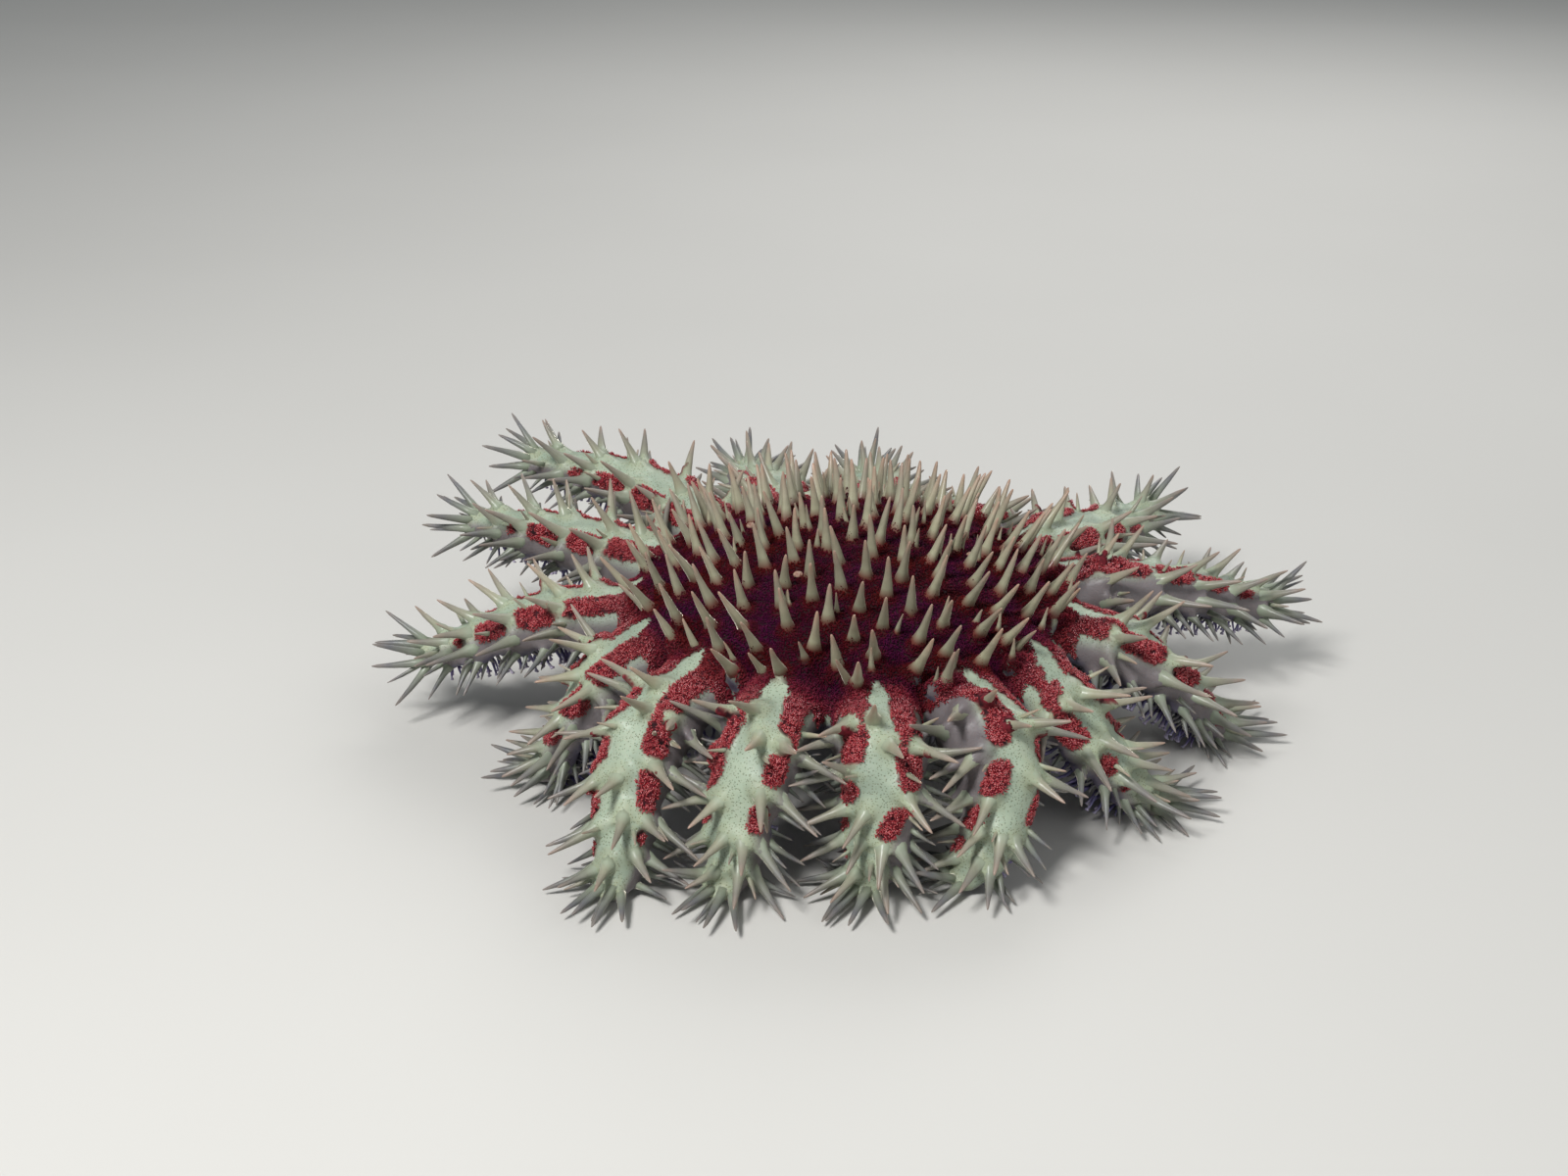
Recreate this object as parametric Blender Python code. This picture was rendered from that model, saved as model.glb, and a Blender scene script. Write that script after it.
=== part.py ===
"""A crown-of-thorns starfish, life size, humped over a flat floor.

The domed disc stands clear of the floor. Fifteen arms leave its rim: those in front drape down to
the floor, and some at the sides and back are held out above it. Azimuths are in degrees, seen from
above, from the side that faces the viewer (-Y), positive to the viewer's right (+X).
"""

import math
import random
from collections import namedtuple

import bmesh
import bpy
from mathutils import Matrix, Vector

MM = 0.001
UP = Vector((0, 0, 1))
GAP = 0.3 * MM  # left between neighbouring pieces that meet face to face

# The disc: a low dome above, slightly hollow below, with one flat on its rim for each arm.
CENTRE = Vector((-3.6, -23.2, 0.0)) * MM
DISC_RADIUS = 78 * MM  # from the centre to the flats where the arms are rooted
DISC_EDGE = 3.5 * MM  # how far the rounded edge would stand out past the flats
CROWN_HEIGHT = 77 * MM
RIM_TOP = 56.5 * MM
RIM_BOTTOM = 38 * MM
MOUTH_HEIGHT = 46 * MM
DOME_POWER = 2.2
DISC_STEPS = 30

# The arms: half-width, height above and depth below the centreline, at the root and at the tip.
ROOT_SIZE = (14.0 * MM, 11.0 * MM, 8.0 * MM)
TIP_SIZE = (6.5 * MM, 6.0 * MM, 4.6 * MM)
TAPER_POWER = 1.8  # above 1 an arm keeps its width for longer before it narrows
TIP_ROUNDING = 0.1  # share of the arm's length over which its end is rounded off
END_SHARE = 0.3  # size of the last section against the full one
GROOVE_DEPTH = 0.45  # of the depth below the centreline, along the middle of the underside
ARM_SIDES = 10
ROOT_HANDLE = 0.46
TIP_HANDLE = 0.34
CUT = 0.54  # share of the arm's length where its root length meets its tip length
ROOT_STATIONS = (0.0, 0.14, 0.28, 0.42)
TIP_STATIONS = (0.68, 0.82, 0.91, 0.97, 1.0)
PRESS = 0.7 * MM  # how far a standing arm's underside would sink if the floor were soft

# Each arm's pose. base and tip are the azimuths of its two ends, dip the slope at which it leaves
# the disc, reach the distance of its tip from the disc's axis, and height that of its tip above the
# floor, or None where the arm stands on the floor. heading and pitch aim the tip.
Arm = namedtuple("Arm", "name base dip tip reach height heading pitch")
ARMS = (
    Arm("arm_01", -91, 0, -96, 150, 24, -98, -14),
    Arm("arm_02", -67, -30, -75, 110, None, -94, -18),
    Arm("arm_03", -43, -8, -36, 129, None, -24, -36),
    Arm("arm_04", -19, -5, -22, 112, None, -22, -36),
    Arm("arm_05", 5, -5, 1, 102, None, -20, -40),
    Arm("arm_06", 28, 0, 17, 101, None, -70, -30),
    Arm("arm_07", 52, -44, 65, 114, None, 90, -20),
    Arm("arm_08", 79, -10, 90, 134, None, 96, -22),
    Arm("arm_09", 106, 0, 108, 164, 28, 108, -6),
    Arm("arm_10", 128, 0, 134, 168, 38, 140, 4),
    Arm("arm_11", 150, 0, 155, 150, None, 158, -24),
    Arm("arm_12", 172, 0, 176, 156, 36, 178, 0),
    Arm("arm_13", -166, 0, -166, 162, 38, -168, 0),
    Arm("arm_14", -144, 12, -134, 170, 57, -112, 0),
    Arm("arm_15", -121, 4, -118, 157, 50, -112, -2),
)

# The spines. Rows run along an arm at an angle round it from the middle of its upper side.
Row = namedtuple("Row", "angle first spacing length radius lean")
ROWS = (
    Row(9, 0.09, 0.19, 15, 2.1, 26),
    Row(46, 0.08, 0.2, 16.5, 2.3, 24),
    Row(80, 0.08, 0.2, 18.5, 2.2, 18),
    Row(116, 0.06, 0.14, 14.5, 1.6, 12),
)
LAST_ROW_STATION = 0.93
BEFORE_CUT = 0.055  # share of the arm's length kept free of roots before its cut
PAST_CUT = 0.085  # and past it, because the roots slope back towards it
FAN_SPINES = 8
FAN_LENGTH = 16
FAN_RADIUS = 1.5
FAN_SPREAD = 42  # degrees between the fan's axis and its outer spines
DISC_SPINES = 158
DISC_SPINE_LENGTH = 15.5
DISC_SPINE_RADIUS = 1.9
DISC_SPINE_FIELD = 76 * MM  # radius of the field of spines on the disc
GOLDEN_ANGLE = 137.508
SPINE_SIDES = 5
SINK = 3.2 * MM  # depth of a spine's root below the skin
FLOOR_CLEARANCE = 0.8 * MM
LENGTH_SPREAD = 0.14
AIM_SPREAD = 9  # degrees
SEED = 15

# The mouth: a soft ring under the middle of the disc, with a jaw between every two arms.
MOUTH_RADIUS = 15 * MM
MOUTH_OPENING = 6 * MM
MOUTH_DEPTH = 5 * MM
MOUTH_SEAT = 19 * MM  # radius of the flat middle of the disc's underside
JAW_LENGTH = 8 * MM
JAW_RADIUS = 1.6 * MM

MATERIALS = {
    "skin": ((0.33, 0.05, 0.06, 1), 0.45),
    "arm": ((0.50, 0.52, 0.42, 1), 0.45),
    "mouth": ((0.42, 0.36, 0.42, 1), 0.5),
}

Spine = namedtuple("Spine", "node root aim length radius")


def bearing(azimuth, pitch=0.0):
    """The direction of an azimuth, raised by a pitch, both in degrees."""
    a, p = math.radians(azimuth), math.radians(pitch)
    return Vector((math.sin(a) * math.cos(p), -math.cos(a) * math.cos(p), math.sin(p)))


def dome(radius):
    """Height of the disc's upper side at a distance from its axis."""
    return CROWN_HEIGHT - (CROWN_HEIGHT - RIM_TOP) * (radius / DISC_RADIUS) ** DOME_POWER


def vault(radius):
    """Height of the disc's underside at a distance from its axis."""
    return MOUTH_HEIGHT - (MOUTH_HEIGHT - RIM_BOTTOM) * (radius / DISC_RADIUS) ** 2


def section_size(share):
    """Half-width, height above and depth below the centreline at a share of an arm's length."""
    size = [root + (tip - root) * share**TAPER_POWER for root, tip in zip(ROOT_SIZE, TIP_SIZE)]
    past = max(0.0, (share - (1 - TIP_ROUNDING)) / TIP_ROUNDING)
    end = END_SHARE + (1 - END_SHARE) * math.sqrt(max(0.0, 1 - past * past))
    return [value * end for value in size]


class ArmShape:
    """The centreline and the skin of one arm."""

    def __init__(self, arm):
        self.arm = arm
        self.start = CENTRE + bearing(arm.base) * DISC_RADIUS
        self.start.z = (RIM_TOP * ROOT_SIZE[2] + RIM_BOTTOM * ROOT_SIZE[1]) / sum(ROOT_SIZE[1:])
        self.bend((arm.height or 0) * MM)
        if arm.height is None:
            self.stand()

    def bend(self, height):
        """Lays the centreline, a cubic curve, to a tip at this height."""
        arm = self.arm
        end = CENTRE + bearing(arm.tip) * arm.reach * MM
        end.z = height
        chord = (end - self.start).length
        a = self.start + bearing(arm.base, arm.dip) * chord * ROOT_HANDLE
        b = end - bearing(arm.heading, arm.pitch) * chord * TIP_HANDLE
        self.points = (self.start, a, b, end)
        self.length = sum(
            (self.place((i + 1) / 20) - self.place(i / 20)).length for i in range(20)
        )

    def stand(self):
        """Lowers the tip until the underside presses on the floor."""
        low, high = -10 * MM, 20 * MM
        for _ in range(20):
            middle = (low + high) / 2
            self.bend(middle)
            lowest = min(
                self.skin(0.6 + 0.4 * i / 16, angle).z for i in range(17) for angle in (144, 180, 216)
            )
            low, high = (middle, high) if lowest < -PRESS else (low, middle)

    def place(self, share):
        p0, p1, p2, p3 = self.points
        t = share
        u = 1 - t
        return p0 * u**3 + p1 * 3 * u * u * t + p2 * 3 * u * t * t + p3 * t**3

    def axes(self, share):
        """The arm's own directions at a share of its length: along it, to its side, and out of its back."""
        step = 0.01
        along = self.place(min(1.0, share + step)) - self.place(max(0.0, share - step))
        if share < step:
            along = bearing(self.arm.base)
        along.normalize()
        side = along.cross(UP).normalized()
        return along, side, side.cross(along)

    def skin(self, share, angle):
        """The point of the skin at an angle from the middle of the back, in degrees."""
        along, side, back = self.axes(share)
        width, above, below = section_size(share)
        a = math.radians(angle)
        rise = math.cos(a)
        if rise >= 0:
            lift = above * rise
        else:
            groove = max(0.0, -rise - 0.75) * 4
            lift = below * (math.copysign(abs(rise) ** 0.6, rise) + GROOVE_DEPTH * groove)
        return self.place(share) + side * width * math.sin(a) + back * lift

    def outward(self, share, angle, lean):
        """The aim of a spine at a point of the skin, leaning towards the tip by an angle in degrees."""
        along, side, back = self.axes(share)
        a, tilt = math.radians(angle), math.radians(lean)
        normal = side * math.sin(a) + back * math.cos(a)
        return (normal * math.cos(tilt) + along * math.sin(tilt)).normalized()


def material(name):
    colour, roughness = MATERIALS[name]
    made = bpy.data.materials.new(name)
    made.use_nodes = True
    shader = made.node_tree.nodes["Principled BSDF"]
    shader.inputs["Base Color"].default_value = colour
    shader.inputs["Roughness"].default_value = roughness
    shader.inputs["Metallic"].default_value = 0.0
    return made


def object_from(bm, name, collection):
    """A mesh object made of a bmesh, with its faces pointing out."""
    bmesh.ops.remove_doubles(bm, verts=bm.verts, dist=0.001 * MM)
    bmesh.ops.recalc_face_normals(bm, faces=bm.faces)
    mesh = bpy.data.meshes.new(name)
    bm.to_mesh(mesh)
    bm.free()
    obj = bpy.data.objects.new(name, mesh)
    collection.objects.link(obj)
    return obj


def cut_below(bm, point, normal):
    """Cuts away what lies beyond a plane on its normal's side, and closes the cut."""
    cut = bmesh.ops.bisect_plane(
        bm,
        geom=[*bm.verts, *bm.edges, *bm.faces],
        dist=0.0001 * MM,
        plane_co=point,
        plane_no=normal,
        clear_outer=True,
    )
    edges = [e for e in cut["geom_cut"] if isinstance(e, bmesh.types.BMEdge)]
    bmesh.ops.holes_fill(bm, edges=edges, sides=0)


def make_disc(collection):
    """The disc's body: a turned dome, cut flat on its rim where each arm is rooted."""
    edge = DISC_RADIUS + DISC_EDGE
    middle = (RIM_TOP + RIM_BOTTOM) / 2
    above = [(0.0, dome(0)), *((DISC_RADIUS * k, dome(DISC_RADIUS * k)) for k in (0.3, 0.55, 0.78, 1.0))]
    below = [(DISC_RADIUS * k, vault(DISC_RADIUS * k)) for k in (1.0, 0.6)]
    below += [(MOUTH_SEAT, MOUTH_HEIGHT), (0.0, MOUTH_HEIGHT)]
    rounded = [(edge, middle + 5 * MM), (edge, middle - 5 * MM)]
    bm = bmesh.new()
    ring = [bm.verts.new((radius, 0, height)) for radius, height in above + rounded + below]
    edges = [bm.edges.new(pair) for pair in zip(ring, ring[1:])]
    bmesh.ops.spin(
        bm,
        geom=[*ring, *edges],
        cent=(0, 0, 0),
        axis=(0, 0, 1),
        angle=math.tau,
        steps=DISC_STEPS,
        use_merge=True,
    )
    bmesh.ops.remove_doubles(bm, verts=bm.verts, dist=0.01 * MM)
    bmesh.ops.translate(bm, verts=bm.verts, vec=CENTRE)
    bmesh.ops.recalc_face_normals(bm, faces=bm.faces)
    for arm in ARMS:
        out = bearing(arm.base)
        cut_below(bm, CENTRE + out * (DISC_RADIUS - GAP / 2), out)
    return object_from(bm, "disc", collection)


def make_length(shape, name, stations, shifts, collection):
    """One length of an arm: a loft through sections at these stations, closed at both ends."""
    bm = bmesh.new()
    rings = []
    for share, shift in zip(stations, shifts):
        made = bmesh.ops.create_circle(bm, segments=ARM_SIDES, radius=1.0)
        offset = shape.axes(share)[0] * shift
        for i, vert in enumerate(made["verts"]):
            vert.co = shape.skin(share, 360 * i / ARM_SIDES) + offset
        rings.append(sorted({e for v in made["verts"] for e in v.link_edges}, key=lambda e: e.index))
    for near, far in zip(rings, rings[1:]):
        bmesh.ops.bridge_loops(bm, edges=near + far)
    for ring in (rings[0], rings[-1]):
        bmesh.ops.contextual_create(bm, geom=ring)
    bmesh.ops.recalc_face_normals(bm, faces=bm.faces)
    if min(v.co.z for v in bm.verts) < 0:
        cut_below(bm, (0, 0, 0), -UP)
    return object_from(bm, name, collection)


def make_arm(shape, collection):
    """The two lengths of an arm, with a thin gap at the disc and another between them."""
    name = shape.arm.name
    root = (*ROOT_STATIONS, CUT)
    tip = (CUT, *TIP_STATIONS)
    half = GAP / 2
    return [
        make_length(shape, f"{name}_root", root, [half, 0, 0, 0, -half], collection),
        make_length(shape, f"{name}_tip", tip, [half, 0, 0, 0, 0, 0], collection),
    ]


def make_mouth(collection):
    """The ring of soft skin round the mouth."""
    top = MOUTH_HEIGHT - GAP
    profile = [
        (MOUTH_OPENING, top - 1 * MM),
        (MOUTH_OPENING + 3 * MM, top),
        (MOUTH_RADIUS - 2 * MM, top - 0.25 * MM),
        (MOUTH_RADIUS, top - 1.4 * MM),
        (MOUTH_RADIUS - 4 * MM, top - MOUTH_DEPTH),
        (MOUTH_OPENING + 1 * MM, top - MOUTH_DEPTH),
    ]
    bm = bmesh.new()
    ring = [bm.verts.new((radius, 0, height)) for radius, height in profile]
    edges = [bm.edges.new(pair) for pair in zip(ring, ring[1:] + ring[:1])]
    bmesh.ops.spin(
        bm,
        geom=[*ring, *edges],
        cent=(0, 0, 0),
        axis=(0, 0, 1),
        angle=math.tau,
        steps=len(ARMS),
        use_merge=True,
    )
    bmesh.ops.translate(bm, verts=bm.verts, vec=CENTRE)
    return object_from(bm, "mouth", collection)


def jaws():
    """The jaws, stout spines that slope down and in from the mouth's ring."""
    for arm in ARMS:
        out = bearing(arm.base + 12)
        root = CENTRE + out * (MOUTH_RADIUS - 4 * MM)
        root.z = MOUTH_HEIGHT - GAP - MOUTH_DEPTH
        yield Spine("mouth", root, (-UP - out * 0.35).normalized(), JAW_LENGTH, JAW_RADIUS)


def disc_spines(rng):
    """The disc's spines, in the even spiral of a sunflower head, fanned out towards the rim."""
    for i in range(DISC_SPINES):
        radius = DISC_SPINE_FIELD * math.sqrt((i + 0.5) / DISC_SPINES)
        out = bearing(i * GOLDEN_ANGLE + rng.uniform(-2, 2))
        root = CENTRE + out * radius
        root.z = dome(radius)
        slope = (dome(radius - MM) - dome(radius + MM)) / (2 * MM)
        aim = UP + out * (0.6 * slope + 0.35 * radius / DISC_RADIUS)
        length = DISC_SPINE_LENGTH * MM * rng.uniform(1 - LENGTH_SPREAD, 1 + LENGTH_SPREAD)
        yield Spine("disc", root, jittered(aim, rng), length, DISC_SPINE_RADIUS * MM)


def off_the_cut(share):
    """A share of an arm's length, moved past the arm's cut where a root there would meet it."""
    return CUT + PAST_CUT if -BEFORE_CUT < share - CUT < PAST_CUT else share


def arm_spines(shape, rng):
    """An arm's spines: rows along its back and sides, and a fan round its tip."""
    name = shape.arm.name
    for row in ROWS:
        for sign in (1, -1):
            middle = row is ROWS[0]
            station = row.first + (row.spacing / 2 if sign < 0 else 0)
            while station < LAST_ROW_STATION:
                share = off_the_cut(station)
                node = f"{name}_root" if share < CUT else f"{name}_tip"
                angle = sign * row.angle + rng.uniform(-4, 4)
                size = 1 - 0.18 * share
                length = row.length * MM * size * rng.uniform(1 - LENGTH_SPREAD, 1 + LENGTH_SPREAD)
                aim = shape.outward(share, angle, row.lean + 22 * share)
                yield Spine(
                    node, shape.skin(share, angle), jittered(aim, rng), length, row.radius * MM * size
                )
                station += row.spacing * (2 if middle else 1)
    for i in range(FAN_SPINES):
        angle = -125 + 250 * i / (FAN_SPINES - 1)
        aim = shape.outward(0.97, angle, 90 - FAN_SPREAD + 24 * (i % 2))
        length = FAN_LENGTH * MM * rng.uniform(1 - LENGTH_SPREAD, 1 + LENGTH_SPREAD)
        yield Spine(
            f"{name}_tip", shape.skin(0.965, angle), jittered(aim, rng), length, FAN_RADIUS * MM
        )


def jittered(aim, rng):
    """An aim turned a little at random."""
    spread = math.tan(math.radians(AIM_SPREAD))
    nudge = Vector([rng.uniform(-spread, spread) for _ in range(3)])
    return (aim.normalized() + nudge).normalized()


def closest(p1, d1, p2, d2):
    """The shares along two stretches, p1 to p1 + d1 and p2 to p2 + d2, where they pass closest."""
    r = p1 - p2
    a, e, f = d1.dot(d1), d2.dot(d2), d2.dot(r)
    b, c = d1.dot(d2), d1.dot(r)
    denominator = a * e - b * b
    s = min(1.0, max(0.0, (b * f - c * e) / denominator)) if denominator > 1e-18 else 0.0
    t = (b * s + f) / e
    if t < 0 or t > 1:
        t = min(1.0, max(0.0, t))
        s = min(1.0, max(0.0, (b * t - c) / a))
    return s, t


def crosses(spine, other):
    """Whether two spines come closer than the gap."""
    far = spine.length + other.length + spine.radius + other.radius
    if (spine.root - other.root).length > far:
        return False
    d1, d2 = spine.aim * spine.length, other.aim * other.length
    s, t = closest(spine.root, d1, other.root, d2)
    apart = (spine.root + d1 * s - other.root - d2 * t).length
    return apart < spine.radius * (1.08 - s) + other.radius * (1.08 - t) + GAP


def meets_body(spine, balls):
    """Whether a spine runs into a body, given as balls along the arms, or into the disc.

    Near its root a spine may come close to the other length of its own arm. Its sunk root counts as
    part of it.
    """
    own = spine.node.rsplit("_", 1)[0]
    for name, share, centre, radius in balls:
        if name == own and (share > CUT) == spine.node.endswith("tip"):
            continue
        nearest = 0.35 if name == own else 0.0
        s = max(nearest, min(1.0, (centre - spine.root).dot(spine.aim) / spine.length))
        apart = (spine.root + spine.aim * s * spine.length - centre).length
        if apart < radius + spine.radius * (1 - s) + GAP:
            return True
    if spine.node == "disc" or spine.node == "mouth":
        return False
    for i in range(-1, 6):
        along = spine.length * i / 5
        point = spine.root + spine.aim * along - CENTRE
        radius = math.hypot(point.x, point.y)
        margin = spine.radius * (1.2 - i / 5) + GAP
        if radius < DISC_RADIUS + margin and vault(radius) - margin < point.z < dome(radius) + margin:
            return True
    return False


def free_spine(spine, placed, balls):
    """The spine itself, or raised or shortened until it clears the floor and other nodes, or None."""
    for keep in (1.0, 0.8, 0.62):
        for lift in (0.0, 0.25, 0.5, 0.8, -0.25):
            turned = spine._replace(aim=(spine.aim + UP * lift).normalized(), length=spine.length * keep)
            tip = turned.root + turned.aim * turned.length
            if spine.node != "mouth" and min(tip.z, turned.root.z - turned.radius) < FLOOR_CLEARANCE:
                continue
            if meets_body(turned, balls):
                continue
            if not any(crosses(turned, other) for other in placed if other.node != spine.node):
                return turned
    return None


def body_balls(shapes):
    """Balls that fill the arms, for keeping spines clear of them."""
    found = []
    for shape in shapes:
        for i in range(15):
            share = i / 14
            width, above, _ = section_size(share)
            radius = 0.7 * width + 0.3 * above + 0.5 * MM
            found.append((shape.arm.name, share, shape.place(share), radius))
    return found


def make_spine(spine, collection):
    """One spine as a pointed cone, its root sunk below the skin."""
    bm = bmesh.new()
    depth = spine.length + SINK
    turn = spine.aim.to_track_quat("Z", "Y").to_matrix().to_4x4()
    centre = spine.root + spine.aim * (depth / 2 - SINK)
    bmesh.ops.create_cone(
        bm,
        cap_ends=True,
        segments=SPINE_SIDES,
        radius1=spine.radius * depth / spine.length,
        radius2=0,
        depth=depth,
        matrix=Matrix.Translation(centre) @ turn,
    )
    return object_from(bm, "spine", collection)


def largest_surface(obj):
    """Keeps only the largest closed surface of a mesh."""
    bm = bmesh.new()
    bm.from_mesh(obj.data)
    left, groups = set(bm.verts), []
    while left:
        group, edge = set(), {left.pop()}
        while edge:
            group |= edge
            edge = {e.other_vert(v) for v in edge for e in v.link_edges} & left
            left -= edge
        groups.append(group)
    groups.sort(key=len)
    bmesh.ops.delete(bm, geom=[v for group in groups[:-1] for v in group], context="VERTS")
    bm.to_mesh(obj.data)
    bm.free()


def fuse(body, spines):
    """Joins a body and its spines into one closed mesh."""
    pieces = bpy.data.collections.new(f"{body.name}_spines")
    bpy.context.scene.collection.children.link(pieces)
    for spine in spines:
        make_spine(spine, pieces)
    union = body.modifiers.new("spines", "BOOLEAN")
    union.operation = "UNION"
    union.operand_type = "COLLECTION"
    union.collection = pieces
    union.solver = "EXACT"
    graph = bpy.context.evaluated_depsgraph_get()
    joined = bpy.data.meshes.new_from_object(body.evaluated_get(graph))
    body.modifiers.clear()
    body.data = joined
    for piece in list(pieces.objects):
        bpy.data.objects.remove(piece)
    bpy.data.collections.remove(pieces)
    largest_surface(body)


def main():
    for obj in list(bpy.data.objects):
        bpy.data.objects.remove(obj)
    starfish = bpy.data.collections.new("starfish")
    bpy.context.scene.collection.children.link(starfish)
    finishes = {name: material(name) for name in MATERIALS}
    shapes = [ArmShape(arm) for arm in ARMS]
    rng = random.Random(SEED)

    bodies = [make_disc(starfish), make_mouth(starfish)]
    for shape in shapes:
        bodies += make_arm(shape, starfish)

    wanted = [*disc_spines(rng), *jaws()]
    for shape in shapes:
        wanted += arm_spines(shape, rng)
    balls = body_balls(shapes)
    placed = []
    for spine in wanted:
        free = free_spine(spine, placed, balls)
        if free:
            placed.append(free)

    for body in bodies:
        fuse(body, [spine for spine in placed if spine.node == body.name])
        kind = {"disc": "skin", "mouth": "mouth"}.get(body.name, "arm")
        body.data.materials.clear()
        body.data.materials.append(finishes[kind])
        body.data.shade_flat()


main()
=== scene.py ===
"""The skin, spines, gills and feet of a life-size crown-of-thorns starfish, dressed over its solids.

Everything is in metres, +Z up, with the viewer on the -Y side. Azimuths are in degrees, seen from
above, from the side that faces the viewer, positive to the viewer's right (+X).
"""

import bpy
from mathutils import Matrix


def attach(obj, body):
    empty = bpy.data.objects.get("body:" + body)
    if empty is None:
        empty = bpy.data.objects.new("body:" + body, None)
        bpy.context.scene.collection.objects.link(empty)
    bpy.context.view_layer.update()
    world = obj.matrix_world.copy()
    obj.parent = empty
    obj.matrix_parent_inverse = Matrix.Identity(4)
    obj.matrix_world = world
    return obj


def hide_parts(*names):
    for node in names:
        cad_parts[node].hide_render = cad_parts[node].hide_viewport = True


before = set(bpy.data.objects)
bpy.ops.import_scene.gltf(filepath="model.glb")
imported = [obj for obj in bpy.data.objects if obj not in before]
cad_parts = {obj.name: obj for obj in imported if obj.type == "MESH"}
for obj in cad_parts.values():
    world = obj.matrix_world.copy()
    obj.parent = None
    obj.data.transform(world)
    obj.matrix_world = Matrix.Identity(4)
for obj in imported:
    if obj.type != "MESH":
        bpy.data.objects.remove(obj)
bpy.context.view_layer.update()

import math
import random
from collections import namedtuple

import bmesh
import bpy
import numpy as np
from mathutils import Matrix, Vector, kdtree, noise

MM = 0.001
UP = Vector((0, 0, 1))

# The disc and arms have the sizes and poses of the solids.
CENTRE = Vector((-3.6, -23.2, 0.0)) * MM
DISC_RADIUS = 78 * MM
CROWN_HEIGHT = 77 * MM
RIM_TOP = 56.5 * MM
RIM_BOTTOM = 38 * MM
MOUTH_HEIGHT = 46 * MM
DOME_POWER = 2.2
ROOT_SIZE = (14.0 * MM, 11.0 * MM, 8.0 * MM)
TIP_SIZE = (6.5 * MM, 6.0 * MM, 4.6 * MM)
TAPER_POWER = 1.8
TIP_ROUNDING = 0.1
END_SHARE = 0.3
GROOVE_DEPTH = 0.45
ROOT_HANDLE = 0.46
TIP_HANDLE = 0.34
CUT = 0.54
PRESS = 0.7 * MM

# Each arm's pose, as in the solids. twist turns its markings round it, positive to its left side
# as the arm is looked at from its tip, and band is the width of its pale band against the others'.
Arm = namedtuple("Arm", "name base dip tip reach height heading pitch twist band")
ARMS = (
    Arm("arm_01", -91, 0, -96, 150, 24, -98, -14, 0, 1.0),
    Arm("arm_02", -67, -30, -75, 110, None, -94, -18, 0, 0.95),
    Arm("arm_03", -43, -8, -36, 129, None, -24, -36, 8, 0.95),
    Arm("arm_04", -19, -5, -22, 112, None, -22, -36, -4, 1.12),
    Arm("arm_05", 5, -5, 1, 102, None, -20, -40, 4, 0.85),
    Arm("arm_06", 28, 0, 17, 101, None, -70, -30, -42, 0.8),
    Arm("arm_07", 52, -44, 65, 114, None, 90, -20, 26, 0.95),
    Arm("arm_08", 79, -10, 90, 134, None, 96, -22, 0, 0.9),
    Arm("arm_09", 106, 0, 108, 164, 28, 108, -6, -24, 0.9),
    Arm("arm_10", 128, 0, 134, 168, 38, 140, 4, 10, 1.0),
    Arm("arm_11", 150, 0, 155, 150, None, 158, -24, -6, 1.0),
    Arm("arm_12", 172, 0, 176, 156, 36, 178, 0, 0, 1.1),
    Arm("arm_13", -166, 0, -166, 162, 38, -168, 0, 8, 0.95),
    Arm("arm_14", -144, 12, -134, 170, 57, -112, 0, -6, 1.1),
    Arm("arm_15", -121, 4, -118, 157, 50, -112, -2, 0, 1.0),
)

# The main spines stand where those of the solids do.
Row = namedtuple("Row", "angle first spacing length radius lean")
ROWS = (
    Row(9, 0.09, 0.19, 15, 2.1, 26),
    Row(46, 0.08, 0.2, 16.5, 2.3, 24),
    Row(80, 0.08, 0.2, 18.5, 2.2, 18),
    Row(116, 0.06, 0.14, 14.5, 1.6, 12),
)
LAST_ROW_STATION = 0.93
BEFORE_CUT = 0.055
PAST_CUT = 0.085
FAN_SPINES = 8
FAN_LENGTH = 16
FAN_RADIUS = 1.5
FAN_SPREAD = 42
DISC_SPINES = 158
DISC_SPINE_LENGTH = 15.5
DISC_SPINE_RADIUS = 1.9
DISC_SPINE_FIELD = 76 * MM
GOLDEN_ANGLE = 137.508
FLOOR_CLEARANCE = 0.8 * MM
LENGTH_SPREAD = 0.14
AIM_SPREAD = 9
GAP = 0.3 * MM
SEED = 15

# The skin lies a little inside the solids, with furrows between the arms on the disc's edge.
SKIN_DEPTH = 0.9 * MM
SKIN_VOXEL = 1.15 * MM
SKIN_TRIANGLES = 190_000
FURROW_START = 46 * MM
FURROW_DEPTH = 8 * MM
EDGE_RADIUS = 72 * MM
RIDGE_RADII = (44 * MM, 52 * MM, 61 * MM, 69 * MM)
SECTION_SIDES = 28
SECTION_STATIONS = 17
UNDER_GROOVE = 4.2 * MM  # depth of the foot furrow along the middle of each arm's underside
GROOVE_WIDTH = 3.4 * MM
FLOOR_LEVEL = 0.1 * MM
STATIONS = 81  # places along each centreline that points are measured against

Spine = namedtuple("Spine", "node root aim length radius kind share angle along")


def bearing(azimuth, pitch=0.0):
    """The direction of an azimuth, raised by a pitch, both in degrees."""
    a, p = math.radians(azimuth), math.radians(pitch)
    return Vector((math.sin(a) * math.cos(p), -math.cos(a) * math.cos(p), math.sin(p)))


def dome(radius):
    """Height of the disc's upper side at a distance from its axis."""
    return CROWN_HEIGHT - (CROWN_HEIGHT - RIM_TOP) * (radius / DISC_RADIUS) ** DOME_POWER


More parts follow.
